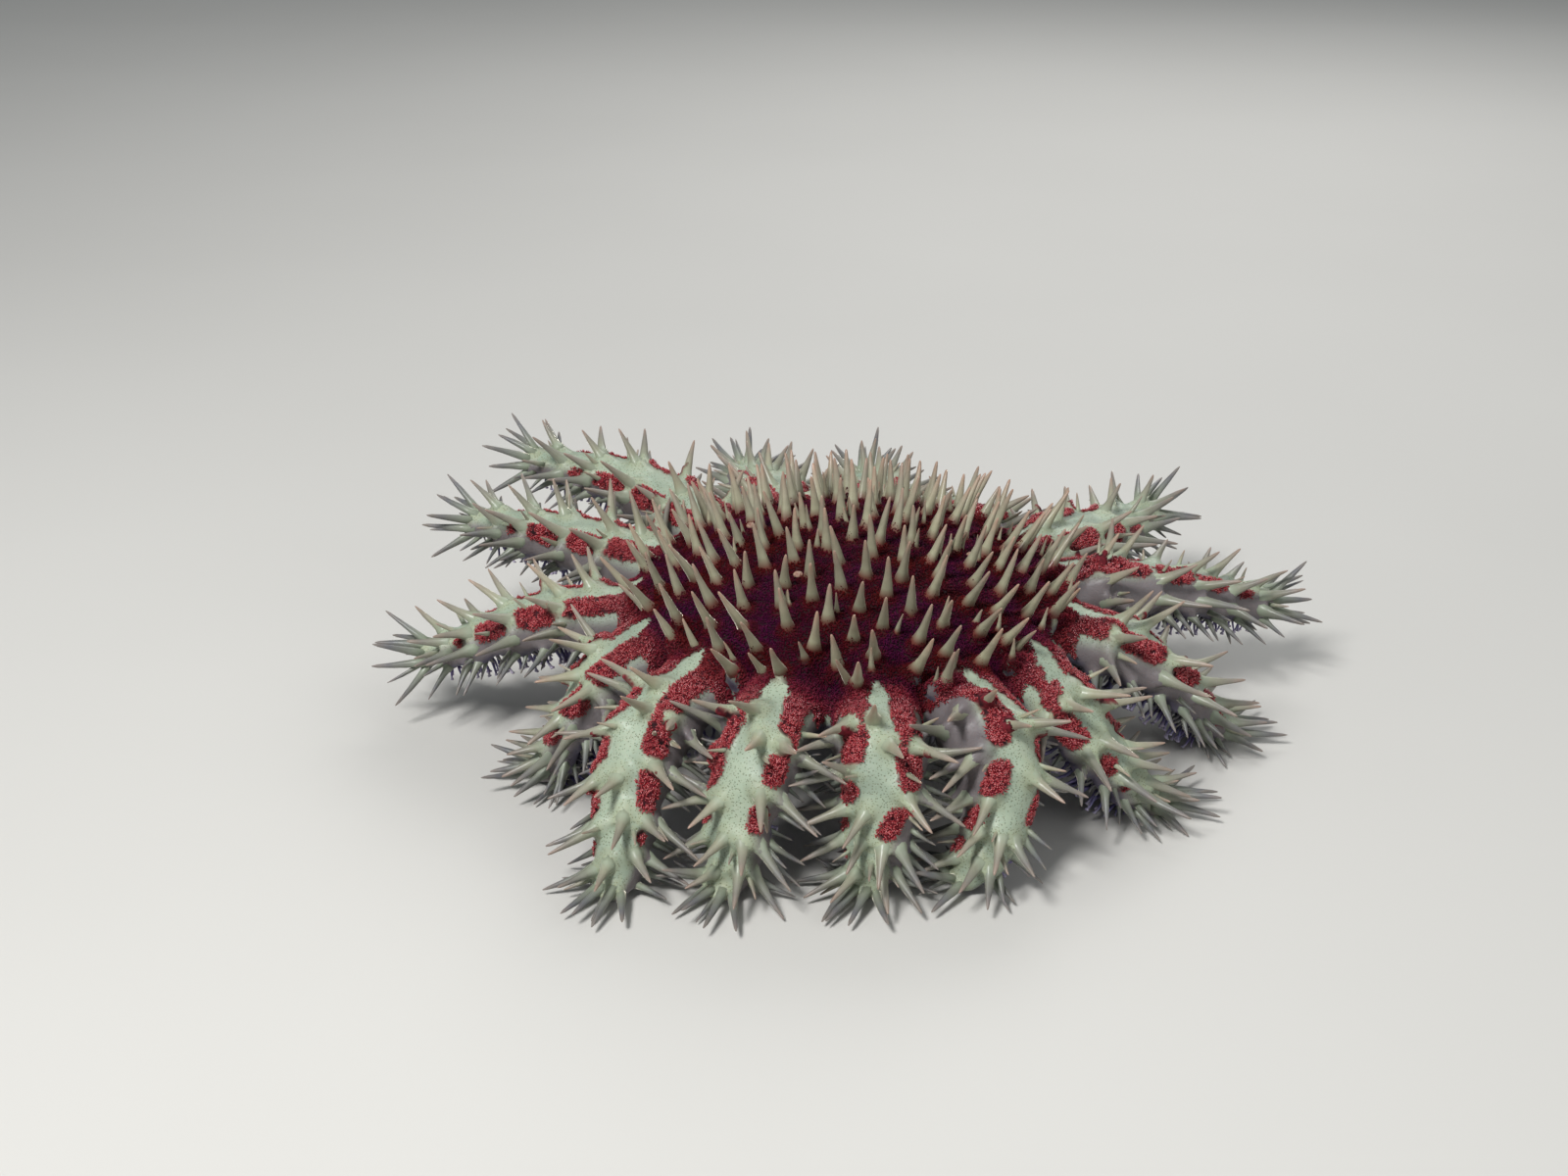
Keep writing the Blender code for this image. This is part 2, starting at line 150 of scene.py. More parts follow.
def vault(radius):
    """Height of the disc's underside at a distance from its axis."""
    return MOUTH_HEIGHT - (MOUTH_HEIGHT - RIM_BOTTOM) * (radius / DISC_RADIUS) ** 2


def section_size(share):
    """Half-width, height above and depth below the centreline at a share of an arm's length."""
    size = [root + (tip - root) * share**TAPER_POWER for root, tip in zip(ROOT_SIZE, TIP_SIZE)]
    past = max(0.0, (share - (1 - TIP_ROUNDING)) / TIP_ROUNDING)
    end = END_SHARE + (1 - END_SHARE) * math.sqrt(max(0.0, 1 - past * past))
    return [value * end for value in size]


def step(low, high, value):
    """A smooth step from 0 to 1 as the value goes from low to high."""
    share = np.clip((value - low) / (high - low), 0, 1)
    return share * share * (3 - 2 * share)


class ArmShape:
    """The centreline and the outside of one arm."""

    def __init__(self, arm):
        self.arm = arm
        self.start = CENTRE + bearing(arm.base) * DISC_RADIUS
        self.start.z = (RIM_TOP * ROOT_SIZE[2] + RIM_BOTTOM * ROOT_SIZE[1]) / sum(ROOT_SIZE[1:])
        self.bend((arm.height or 0) * MM)
        if arm.height is None:
            self.stand()

    def bend(self, height):
        """Lays the centreline, a cubic curve, to a tip at this height."""
        arm = self.arm
        end = CENTRE + bearing(arm.tip) * arm.reach * MM
        end.z = height
        chord = (end - self.start).length
        a = self.start + bearing(arm.base, arm.dip) * chord * ROOT_HANDLE
        b = end - bearing(arm.heading, arm.pitch) * chord * TIP_HANDLE
        self.points = (self.start, a, b, end)
        self.length = sum(
            (self.place((i + 1) / 20) - self.place(i / 20)).length for i in range(20)
        )

    def stand(self):
        """Lowers the tip until the underside presses on the floor."""
        low, high = -10 * MM, 20 * MM
        for _ in range(20):
            middle = (low + high) / 2
            self.bend(middle)
            lowest = min(
                self.skin(0.6 + 0.4 * i / 16, angle).z for i in range(17) for angle in (144, 180, 216)
            )
            low, high = (middle, high) if lowest < -PRESS else (low, middle)

    def place(self, share):
        p0, p1, p2, p3 = self.points
        t = share
        u = 1 - t
        return p0 * u**3 + p1 * 3 * u * u * t + p2 * 3 * u * t * t + p3 * t**3

    def axes(self, share):
        """The directions along the arm, to its side, and out of its back."""
        nudge = 0.01
        along = self.place(min(1.0, share + nudge)) - self.place(max(0.0, share - nudge))
        if share < nudge:
            along = bearing(self.arm.base)
        along.normalize()
        side = along.cross(UP).normalized()
        return along, side, side.cross(along)

    def skin(self, share, angle, depth=0.0, groove=None):
        """The point of the arm's outside at an angle from the middle of its back, in degrees.

        depth is how far inside the solid's own surface it lies, and groove the depth of the furrow
        under the arm where it isn't that of the solid.
        """
        along, side, back = self.axes(share)
        depth *= 1 + share * share
        width, above, below = (size - depth for size in section_size(share))
        a = math.radians(angle)
        rise = math.cos(a)
        if rise >= 0:
            lift = above * rise
        elif groove is None:
            lift = below * (-(abs(rise) ** 0.6) + GROOVE_DEPTH * max(0.0, -rise - 0.75) * 4)
        else:
            across = width * math.sin(a) / GROOVE_WIDTH
            lift = groove * math.exp(-across * across) - below * abs(rise) ** 0.6
        return self.place(share) + side * width * math.sin(a) + back * lift

    def outward(self, share, angle, lean):
        """The aim of a spine at a point of the skin, leaning towards the tip by an angle."""
        along, side, back = self.axes(share)
        a, tilt = math.radians(angle), math.radians(lean)
        normal = side * math.sin(a) + back * math.cos(a)
        return (normal * math.cos(tilt) + along * math.sin(tilt)).normalized()


# Where the spines stand.


def jittered(aim, rng):
    """An aim turned a little at random."""
    spread = math.tan(math.radians(AIM_SPREAD))
    nudge = Vector([rng.uniform(-spread, spread) for _ in range(3)])
    return (aim.normalized() + nudge).normalized()


def disc_spines(rng):
    """The disc's spines, in the even spiral of a sunflower head, fanned out towards the rim."""
    for i in range(DISC_SPINES):
        radius = DISC_SPINE_FIELD * math.sqrt((i + 0.5) / DISC_SPINES)
        out = bearing(i * GOLDEN_ANGLE + rng.uniform(-2, 2))
        root = CENTRE + out * radius
        root.z = dome(radius)
        slope = (dome(radius - MM) - dome(radius + MM)) / (2 * MM)
        aim = UP + out * (0.6 * slope + 0.35 * radius / DISC_RADIUS)
        length = DISC_SPINE_LENGTH * MM * rng.uniform(1 - LENGTH_SPREAD, 1 + LENGTH_SPREAD)
        aim = jittered(aim, rng)
        yield Spine("disc", root, aim, length, DISC_SPINE_RADIUS * MM, "disc", 0, 0, out)


def off_the_cut(share):
    """A share of an arm's length, moved past the arm's cut where a root there would meet it."""
    return CUT + PAST_CUT if -BEFORE_CUT < share - CUT < PAST_CUT else share


def arm_spines(shape, rng):
    """An arm's spines: rows along its back and sides, and a fan round its tip."""
    name = shape.arm.name
    for row in ROWS:
        for sign in (1, -1):
            middle = row is ROWS[0]
            station = row.first + (row.spacing / 2 if sign < 0 else 0)
            while station < LAST_ROW_STATION:
                share = off_the_cut(station)
                node = f"{name}_root" if share < CUT else f"{name}_tip"
                angle = sign * row.angle + rng.uniform(-4, 4)
                size = 1 - 0.18 * share
                spread = rng.uniform(1 - LENGTH_SPREAD, 1 + LENGTH_SPREAD)
                aim = jittered(shape.outward(share, angle, row.lean + 22 * share), rng)
                yield Spine(
                    node,
                    shape.skin(share, angle),
                    aim,
                    row.length * MM * size * spread,
                    row.radius * MM * size,
                    f"row_{row.angle}",
                    share,
                    angle,
                    shape.axes(share)[0],
                )
                station += row.spacing * (2 if middle else 1)
    for i in range(FAN_SPINES):
        angle = -125 + 250 * i / (FAN_SPINES - 1)
        aim = shape.outward(0.97, angle, 90 - FAN_SPREAD + 24 * (i % 2))
        length = FAN_LENGTH * MM * rng.uniform(1 - LENGTH_SPREAD, 1 + LENGTH_SPREAD)
        root = shape.skin(0.965, angle)
        along = shape.axes(1)[0]
        aim = jittered(aim, rng)
        yield Spine(f"{name}_tip", root, aim, length, FAN_RADIUS * MM, "fan", 1, angle, along)


def closest(p1, d1, p2, d2):
    """The shares along two stretches, p1 to p1 + d1 and p2 to p2 + d2, where they pass closest."""
    r = p1 - p2
    a, e, f = d1.dot(d1), d2.dot(d2), d2.dot(r)
    b, c = d1.dot(d2), d1.dot(r)
    denominator = a * e - b * b
    s = min(1.0, max(0.0, (b * f - c * e) / denominator)) if denominator > 1e-18 else 0.0
    t = (b * s + f) / e
    if t < 0 or t > 1:
        t = min(1.0, max(0.0, t))
        s = min(1.0, max(0.0, (b * t - c) / a))
    return s, t


def crosses(spine, other):
    """Whether two spines come closer than the gap."""
    far = spine.length + other.length + spine.radius + other.radius
    if (spine.root - other.root).length > far:
        return False
    d1, d2 = spine.aim * spine.length, other.aim * other.length
    s, t = closest(spine.root, d1, other.root, d2)
    apart = (spine.root + d1 * s - other.root - d2 * t).length
    return apart < spine.radius * (1.08 - s) + other.radius * (1.08 - t) + GAP


def meets_body(spine, balls):
    """Whether a spine runs into a body, given as balls along the arms, or into the disc.

    Near its root a spine may come close to the other length of its own arm. Its sunk root counts as
    part of it.
    """
    own = spine.node.rsplit("_", 1)[0]
    for name, share, centre, radius in balls:
        if name == own and (share > CUT) == spine.node.endswith("tip"):
            continue
        nearest = 0.35 if name == own else 0.0
        s = max(nearest, min(1.0, (centre - spine.root).dot(spine.aim) / spine.length))
        apart = (spine.root + spine.aim * s * spine.length - centre).length
        if apart < radius + spine.radius * (1 - s) + GAP:
            return True
    if spine.node == "disc":
        return False
    for i in range(-1, 6):
        along = spine.length * i / 5
        point = spine.root + spine.aim * along - CENTRE
        radius = math.hypot(point.x, point.y)
        margin = spine.radius * (1.2 - i / 5) + GAP
        if radius < DISC_RADIUS + margin and vault(radius) - margin < point.z < dome(radius) + margin:
            return True
    return False


def free_spine(spine, placed, balls):
    """The spine, or one raised or shortened until it clears the floor and other arms, or None."""
    for keep in (1.0, 0.8, 0.62):
        for lift in (0.0, 0.25, 0.5, 0.8, -0.25):
            aim = (spine.aim + UP * lift).normalized()
            turned = spine._replace(aim=aim, length=spine.length * keep)
            tip = turned.root + turned.aim * turned.length
            if min(tip.z, turned.root.z - turned.radius) < FLOOR_CLEARANCE:
                continue
            if meets_body(turned, balls):
                continue
            if not any(crosses(turned, other) for other in placed if other.node != spine.node):
                return turned
    return None


def body_balls(shapes):
    """Balls that fill the arms, for keeping spines clear of them."""
    found = []
    for shape in shapes:
        for i in range(15):
            share = i / 14
            width, above, _ = section_size(share)
            radius = 0.7 * width + 0.3 * above + 0.5 * MM
            found.append((shape.arm.name, share, shape.place(share), radius))
    return found


# Small spines that only the render has.
SPINELETS = 70
LOW_ROWS = (
    Row(30, 0.04, 0.4, 7, 0.8, 12),
    Row(66, 0.05, 0.36, 8, 0.9, 16),
    Row(100, 0.1, 0.2, 9, 1.0, 10),
    Row(134, 0.06, 0.12, 8.5, 0.95, 8),
)
RIM_SPINES = ((-0.1, 24, 13), (-0.02, -38, 11), (0.03, 20, 9), (0.05, -14, 12))
SMALL_FAN = 3


def small_spines(shapes, rng):
    """Small spines between the main ones on the disc, arms and tips."""
    for i in range(SPINELETS):
        radius = DISC_SPINE_FIELD * math.sqrt(rng.uniform(0.02, 1.0))
        out = bearing(rng.uniform(-180, 180))
        root = CENTRE + out * radius
        root.z = dome(radius)
        aim = jittered(UP + out * 0.3 * radius / DISC_RADIUS, rng)
        length = rng.uniform(5, 10) * MM
        radius = rng.uniform(0.7, 1.1) * MM
        yield Spine("disc", root, aim, length, radius, "spinelet", 0, 0, out)
    for shape in shapes:
        name = shape.arm.name
        out = bearing(shape.arm.base)
        for share, angle, length in RIM_SPINES:
            angle += rng.uniform(-10, 10)
            root = shape.skin(max(share, 0.0), angle) + out * min(share, 0.0) * 90 * MM
            root.z += max(0.0, -share) * 22 * MM
            aim = jittered(shape.outward(0, angle, 32), rng)
            length *= rng.uniform(0.8, 1.2) * MM
            yield Spine("disc", root, aim, length, 1.5 * MM, "rim", 0, 0, shape.axes(0)[0])
        for row in LOW_ROWS:
            for sign in (1, -1):
                share = row.first + rng.uniform(0, row.spacing)
                while share < LAST_ROW_STATION:
                    node = f"{name}_root" if share < CUT else f"{name}_tip"
                    angle = sign * row.angle + rng.uniform(-5, 5)
                    size = rng.uniform(0.75, 1.15)
                    aim = jittered(shape.outward(share, angle, row.lean + 22 * share), rng)
                    yield Spine(
                        node,
                        shape.skin(share, angle),
                        aim,
                        row.length * MM * size,
                        row.radius * MM * size,
                        "low" if row.angle > 90 else "small",
                        share,
                        angle,
                        shape.axes(share)[0],
                    )
                    share += row.spacing * rng.uniform(0.85, 1.15)
        along = shape.axes(1)[0]
        for i in range(SMALL_FAN):
            angle = -100 + 200 * i / (SMALL_FAN - 1)
            aim = jittered(shape.outward(0.98, angle, 62 + 10 * (i % 2)), rng)
            length = rng.uniform(9, 14) * MM
            root = shape.skin(0.985, angle)
            yield Spine(f"{name}_tip", root, aim, length, 0.9 * MM, "fan", 1, angle, along)


def lay_out_spines(shapes):
    """Every spine, each clear of the floor, the disc and the other arms."""
    rng = random.Random(SEED)
    wanted = [*disc_spines(rng)]
    for shape in shapes:
        wanted += arm_spines(shape, rng)
    wanted += small_spines(shapes, random.Random(SEED + 1))
    balls = body_balls(shapes)
    placed = []
    for spine in wanted:
        free = free_spine(spine, placed, balls)
        if free:
            placed.append(free)
    return placed


# Mesh helpers.


def turned(profile, sides):
    """A closed mesh turned about Z, from (radius, height) pairs that start and end on the axis."""
    bm = bmesh.new()
    line = [bm.verts.new((radius, 0, height)) for radius, height in profile]
    edges = [bm.edges.new(pair) for pair in zip(line, line[1:])]
    bmesh.ops.spin(
        bm,
        geom=[*line, *edges],
        cent=(0, 0, 0),
        axis=(0, 0, 1),
        angle=math.tau,
        steps=sides,
        use_merge=True,
    )
    bmesh.ops.remove_doubles(bm, verts=bm.verts, dist=1e-6)
    bmesh.ops.recalc_face_normals(bm, faces=bm.faces)
    mesh = bpy.data.meshes.new("turned")
    bm.to_mesh(mesh)
    bm.free()
    return mesh


def numbers(values, name, width=1, kind=np.float64):
    """A Blender collection's numbers as an array."""
    found = np.empty(len(values) * width, kind)
    values.foreach_get(name, found)
    return found.reshape(-1, width) if width > 1 else found


def repeated(name, template, coords):
    """A mesh of copies of a template, one for each row of vertex positions."""
    copies, corners = len(coords), len(template.vertices)
    corner = numbers(template.loops, "vertex_index", kind=np.int32)
    start = numbers(template.polygons, "loop_start", kind=np.int32)
    shift = np.arange(copies, dtype=np.int32)[:, None]
    mesh = bpy.data.meshes.new(name)
    mesh.vertices.add(copies * corners)
    mesh.vertices.foreach_set("co", coords.ravel())
    mesh.loops.add(copies * len(corner))
    mesh.loops.foreach_set("vertex_index", (corner[None, :] + shift * corners).ravel())
    mesh.polygons.add(copies * len(start))
    mesh.polygons.foreach_set("loop_start", (start[None, :] + shift * len(corner)).ravel())
    mesh.update(calc_edges=True)
    mesh.shade_smooth()
    return mesh


def set_values(mesh, name, values):
    """Stores a number for each vertex."""
    layer = mesh.attributes.new(name, "FLOAT", "POINT")
    layer.data.foreach_set("value", np.ascontiguousarray(values, np.float32).ravel())


def piece(mesh, name, material, slot, *nodes):
    """An object of the model that rides on its body and takes the place of these solids."""
    mesh.materials.clear()
    mesh.materials.append(material)
    obj = bpy.data.objects.new(name, mesh)
    bpy.context.scene.collection.objects.link(obj)
    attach(obj, "root")
    if nodes:
        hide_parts(*nodes)
    return obj


def unit(vectors):
    return vectors / np.linalg.norm(vectors, axis=-1, keepdims=True)


def spread_map(mesh, template, places, size):
    """The bake's map: each copy gets a small upright patch of this size at its own place."""
    corner = numbers(template.loops, "vertex_index", kind=np.int32)
    own = numbers(template.vertices, "co", 3)[corner]
    turn = np.arctan2(own[:, 1], own[:, 0]) / math.tau + 0.5
    height = (own[:, 2] - own[:, 2].min()) / np.ptp(own[:, 2])
    local = np.stack([turn, height], 1) * size
    layer = mesh.uv_layers.new(name="OFBake")
    layer.uv.foreach_set("vector", (places[:, None, :] + local[None, :, :]).astype(np.float32).ravel())


def grid_places(count):
    """Places of the cells of a square sheet with room for this many patches, and a cell's size."""
    cells = math.ceil(math.sqrt(count))
    cell = np.arange(count)
    return np.stack([cell % cells, cell // cells], 1) / cells, 0.9 / cells


# Where a point lies on the animal.


class Chart:
    """The arms' centrelines as arrays, for measuring many points against them."""

    def __init__(self, shapes):
        self.shapes = shapes
        shares = np.linspace(0, 1, STATIONS)
        self.middle = np.array([[shape.place(t) for t in shares] for shape in shapes])
        axes = np.array([[shape.axes(t) for t in shares] for shape in shapes])
        self.along, self.side, self.back = axes[:, :, 0], axes[:, :, 1], axes[:, :, 2]
        self.length = np.array([shape.length for shape in shapes])
        self.base = np.radians([shape.arm.base for shape in shapes])

    def measure(self, points):
        """Each point's arm, and where it lies on it.

        share is below 0 on the disc. angle is in degrees from the middle of the back, arc the same
        as a length along the skin, aside the distance from the arm's middle plane, and radius that
        from the disc's axis.
        """
        middle = self.middle.reshape(-1, 3)
        nearest = np.empty(len(points), np.int64)
        for start in range(0, len(points), 8192):
            part = points[start : start + 8192]
            gap = (middle**2).sum(1)[None, :] - 2 * part @ middle.T
            nearest[start : start + 8192] = gap.argmin(1)
        arm, station = np.divmod(nearest, STATIONS)
        offset = points - middle[nearest]
        ahead = (offset * self.along[arm, station]).sum(1)
        share = station / (STATIONS - 1) + ahead / self.length[arm]
        aside = (offset * self.side[arm, station]).sum(1)
        out = (offset * self.back[arm, station]).sum(1)
        flat = points[:, :2] - np.array(CENTRE)[:2]
        radius = np.hypot(flat[:, 0], flat[:, 1])
        azimuth = np.arctan2(flat[:, 0], -flat[:, 1])
        turn = (azimuth[:, None] - self.base[None, :] + math.pi) % math.tau - math.pi
        on_disc = radius < DISC_RADIUS
        arm = np.where(on_disc, np.abs(turn).argmin(1), arm)
        share = np.where(on_disc, (radius - DISC_RADIUS) / self.length[arm], share)
        lateral = -radius * np.sin(turn[np.arange(len(points)), arm])
        aside = np.where(on_disc, lateral, aside)
        angle = np.degrees(np.arctan2(aside, np.where(on_disc, 10 * MM, out)))
        width = ROOT_SIZE[0] + (TIP_SIZE[0] - ROOT_SIZE[0]) * np.clip(share, 0, 1) ** TAPER_POWER
        arc = np.where(on_disc, aside, np.radians(angle) * width)
        return {
            "arm": arm,
            "share": share,
            "angle": angle,
            "arc": arc,
            "aside": aside,
            "radius": radius,
            "width": width,
        }


# The markings, shared by the skin and the gills that stand on it.
# The pale band along the middle of each arm's back: its half-width at shares of the arm's length.
BAND_SHARES = (-0.17, -0.1, 0.0, 0.2, 0.55, 0.75, 0.87, 1.0)
BAND_WIDTHS = (-3.0, 1.6, 4.6, 7.2, 8.2, 8.2, 10.0, 40.0)
# Pale ridges run round each arm through its spines: how far in and out from each row, in degrees.
RIDGE_REACH = {"row_46": (90, 52), "row_80": (3, 12), "row_116": (8, 6)}
RIDGE_WIDTH = 1.3 * MM
FIRST_RIDGE = 0.2  # the spines nearer the disc than this share stand alone
# Each side of an arm is bare below an angle round it, which changes along the arm, and greyer: partly its
# own grey mauve, partly painted shade.
SIDE_SHARES = (-0.15, -0.07, 0.0, 0.12, 0.3, 1.0)
SIDE_ANGLES = (76, 58, 58, 66, 77, 87)
BLEND = 1.8 * MM  # how softly the ridges run into the band
PIT_SPACING = 3.3 * MM  # small bare hollows in the gill patches


def ripple(points, size):
    """Smooth noise from -1 to 1 with features of about this size."""
    return np.array([noise.noise(Vector(point) / size) for point in points])


def spots(points, spacing):
    """Distance from the nearest of many points scattered through space about this far apart."""
    return np.array([noise.voronoi(Vector(point) / spacing)[0][0] for point in points]) * spacing


class Markings:
    """Where the gills, the pale flesh and the underside are."""

    def __init__(self, shapes, spines):
        self.shapes = shapes
        self.chart = Chart(shapes)
        self.twist = np.array([shape.arm.twist for shape in shapes])
        self.band = np.array([shape.arm.band for shape in shapes])
        self.spines = spines
        self.tree = kdtree.KDTree(len(spines))
        for i, spine in enumerate(spines):
            self.tree.insert(spine.root, i)
        self.tree.balance()

    def pale_depth(self, chart, wave, fine):
        """How far, in metres, each point lies outside the pale band and ridges of its arm."""
        arm, share, arc, width = (chart[name] for name in ("arm", "share", "arc", "width"))
        middle = np.radians(self.twist[arm]) * width * step(-0.1, 0.15, share)
        band = np.interp(share, BAND_SHARES, BAND_WIDTHS) * self.band[arm] * MM
        total = np.exp(-(np.abs(arc - middle) - band) / BLEND)
        side = np.radians(np.interp(share, SIDE_SHARES, SIDE_ANGLES)) * width
        total += np.exp((np.abs(arc - middle) - side) / BLEND)
        for number, shape in enumerate(self.shapes):
            near = np.flatnonzero((arm == number) & (share > -0.12))
            x = share[near] * shape.length
            y = arc[near]
            for spine in self.spines:
                if spine.kind not in RIDGE_REACH or not spine.node.startswith(shape.arm.name):
                    continue
                reach = RIDGE_REACH[spine.kind] if spine.share > FIRST_RIDGE else (4, 4)
                size = section_size(min(spine.share, 0.9))[0]
                sign = math.copysign(1, spine.angle)
                inner = max(sign * spine.angle - reach[0], sign * shape.arm.twist)
                inner = min(inner, sign * spine.angle)
                ends = (sign * inner, spine.angle + sign * reach[1])
                low, high = sorted(math.radians(end) * size for end in ends)
                along = np.abs(x - spine.share * shape.length)
                across = np.maximum(np.maximum(low - y, y - high), 0)
                wide = RIDGE_WIDTH * (1 + 0.9 * max(0.0, spine.share - 0.3))
                total[near] += np.exp(-(np.hypot(along, across) - wide) / BLEND)
        depth = -BLEND * np.log(total)
        return depth + (0.45 * wave + 0.1 * fine) * MM

    def read(self, points, normals):
        """Numbers from 0 to 1 for each point, by name, and where it lies."""
        chart = self.chart.measure(points)
        arm, share, angle = (chart[name] for name in ("arm", "share", "angle"))
        wave = ripple(points, 6 * MM)
        fine = ripple(points, 2.0 * MM)
        turned_angle = (angle - self.twist[arm] + 180) % 360 - 180
        on_arm = step(-0.02, 0.06, share)
        low = step(101, 115, np.abs(angle) + 4 * wave) * on_arm
        # The arms' flanks, painted grey mauve: partly their own colour, partly shade.
        side = step(52, 82, np.abs(turned_angle) + 5 * wave) * step(-0.16, -0.06, share)
        low = np.maximum(low, step(0.05, -0.35, normals[:, 2]) * (1 - on_arm))
        low *= 1 - step(0.2, 0.5, normals[:, 2])
        red = step(-0.25 * MM, 0.45 * MM, self.pale_depth(chart, wave, fine)) * (1 - low)
        # Towards the disc the colours turn to its dark maroon, which is darkened further with painted shade.
        disc = 1 - step(-0.18, 0.12, share + 0.05 * wave)
        apart = np.empty(len(points))
        risen = np.empty(len(points))
        on_disc = np.zeros(len(points))
        for i, point in enumerate(points):
            _, index, _ = self.tree.find(point)
            spine = self.spines[index]
            offset = Vector(point) - spine.root
            risen[i] = offset.dot(spine.aim)
            apart[i] = (offset - spine.aim * risen[i]).length / spine.radius
            on_disc[i] = spine.kind == "disc"
        sheath = on_disc * step(3.9 * MM, 5.2 * MM, risen) * (1 - step(1.7, 2.6, apart + 0.25 * fine))
        at_spine = (1 - on_disc) * (1 - step(1.3, 1.6, apart))
        warm = (1 - step(1.2, 2.8, apart)) * (1 - low)
        # Small hollows in the gill patches, whose skin is painted near black as shade.
        pits = (1 - step(0.9 * MM, 1.2 * MM, spots(points, PIT_SPACING))) * (1 - disc) * red
        chart.update(
            red=red,
            pits=pits,
            gills=red * (1 - sheath) * (1 - at_spine) * (1 - pits),
            disc=disc,
            under=low,
            side=side,
            warm=warm,
            bare=sheath,
        )
        return chart


# The skin.


def disc_profile():
    """The disc's outline from the middle of its upper side to that of its underside."""
    profile = []
    for i in range(15):
        radius = EDGE_RADIUS * i / 14
        furrow = max(0.0, (radius - FURROW_START) / (EDGE_RADIUS - FURROW_START))
        profile.append((radius, dome(radius) - SKIN_DEPTH - FURROW_DEPTH * furrow**2))
    middle = (profile[-1][1] + vault(EDGE_RADIUS)) / 2
    profile += [(EDGE_RADIUS + 1.5 * MM, middle + 2 * MM), (EDGE_RADIUS + 1.5 * MM, middle - 1 * MM)]
    for i in range(8):
        radius = (EDGE_RADIUS - MM) * (1 - i / 7)
        profile.append((radius, vault(radius) + SKIN_DEPTH * 0.6))
    return profile


def arm_rings(shape):
    """The sections of an arm's skin, from deep in the disc to its tip."""
    arm = shape.arm
    out = bearing(arm.base)
    side = out.cross(UP)
    angles = [360 * i / SECTION_SIDES for i in range(SECTION_SIDES)]
    for radius in RIDGE_RADII:
        width = min(ROOT_SIZE[0] - SKIN_DEPTH, radius * math.tan(math.radians(11.2)))
        top = dome(radius) - SKIN_DEPTH
        bottom = vault(radius) + 0.8 * MM
        above = min(width * 0.85, (top - bottom) * 0.55)
        middle = CENTRE + out * radius + UP * (top - above)
        ring = []
        for angle in angles:
            rise = math.cos(math.radians(angle))
            lift = above * rise if rise > 0 else -(top - above - bottom) * abs(rise) ** 0.6
            ring.append(middle + side * width * math.sin(math.radians(angle)) + UP * lift)
        yield ring
    for i in range(SECTION_STATIONS):
        share = math.sin(math.pi / 2 * i / (SECTION_STATIONS - 1))
        groove = UNDER_GROOVE * (1 - 0.5 * share) * min(1.0, (1 - share) * 12)
        yield [shape.skin(share, angle, SKIN_DEPTH, groove) for angle in angles]


def arm_mesh(shape):
    """A closed loft through an arm's sections."""
    bm = bmesh.new()
    loops = []
    for ring in arm_rings(shape):
        made = bmesh.ops.create_circle(bm, segments=SECTION_SIDES, radius=1.0)["verts"]
        for vert, place in zip(made, ring):
            vert.co = place
        edges = {edge for vert in made for edge in vert.link_edges}
        loops.append(sorted(edges, key=lambda edge: edge.index))
    for near, far in zip(loops, loops[1:]):
        bmesh.ops.bridge_loops(bm, edges=near + far)
    for loop in (loops[0], loops[-1]):
        bmesh.ops.contextual_create(bm, geom=loop)
    bmesh.ops.recalc_face_normals(bm, faces=bm.faces)
    mesh = bpy.data.meshes.new(shape.arm.name)
    bm.to_mesh(mesh)
    bm.free()
    return mesh


# Flesh that rises round a spine's foot: radius against that of the foot, height against its own.
COLLAR = (
    (0, -0.6),
    (1.45, -0.6),
    (1.3, -0.25),
    (1.0, 0.0),
    (0.74, 0.18),
    (0.56, 0.4),
    (0.45, 0.66),
    (0.36, 1),
    (0, 1),
)
COLLAR_SINK = 2.6  # the collars on the disc go this much deeper, down into the furrows
# For each kind of spine: radius of the collar's foot in mm, its height, its stretch across the arm.
COLLAR_SIZES = {
    "disc": (3.0, 4.6, 1.0),
    "row_9": (3.6, 6.5, 1.1),
    "row_46": (4.1, 8.0, 1.25),
    "row_80": (4.0, 8.5, 1.45),
    "row_116": (2.9, 5.5, 1.3),
    "fan": (2.3, 7.0, 1.0),
    "low": (1.7, 3.0, 1.0),
    "small": (1.5, 2.2, 1.0),
    "spinelet": (1.9, 3.0, 1.0),
    "rim": (3.0, 4.0, 1.0),
}


def spine_axes(spines):
    """Each spine's foot and its directions: along the arm, across it, and up the spine."""
    root = np.array([spine.root for spine in spines])
    aim = unit(np.array([spine.aim for spine in spines]))
    along = np.array([spine.along for spine in spines])
    along = unit(along - aim * (along * aim).sum(1, keepdims=True))
    return root, along, np.cross(aim, along), aim


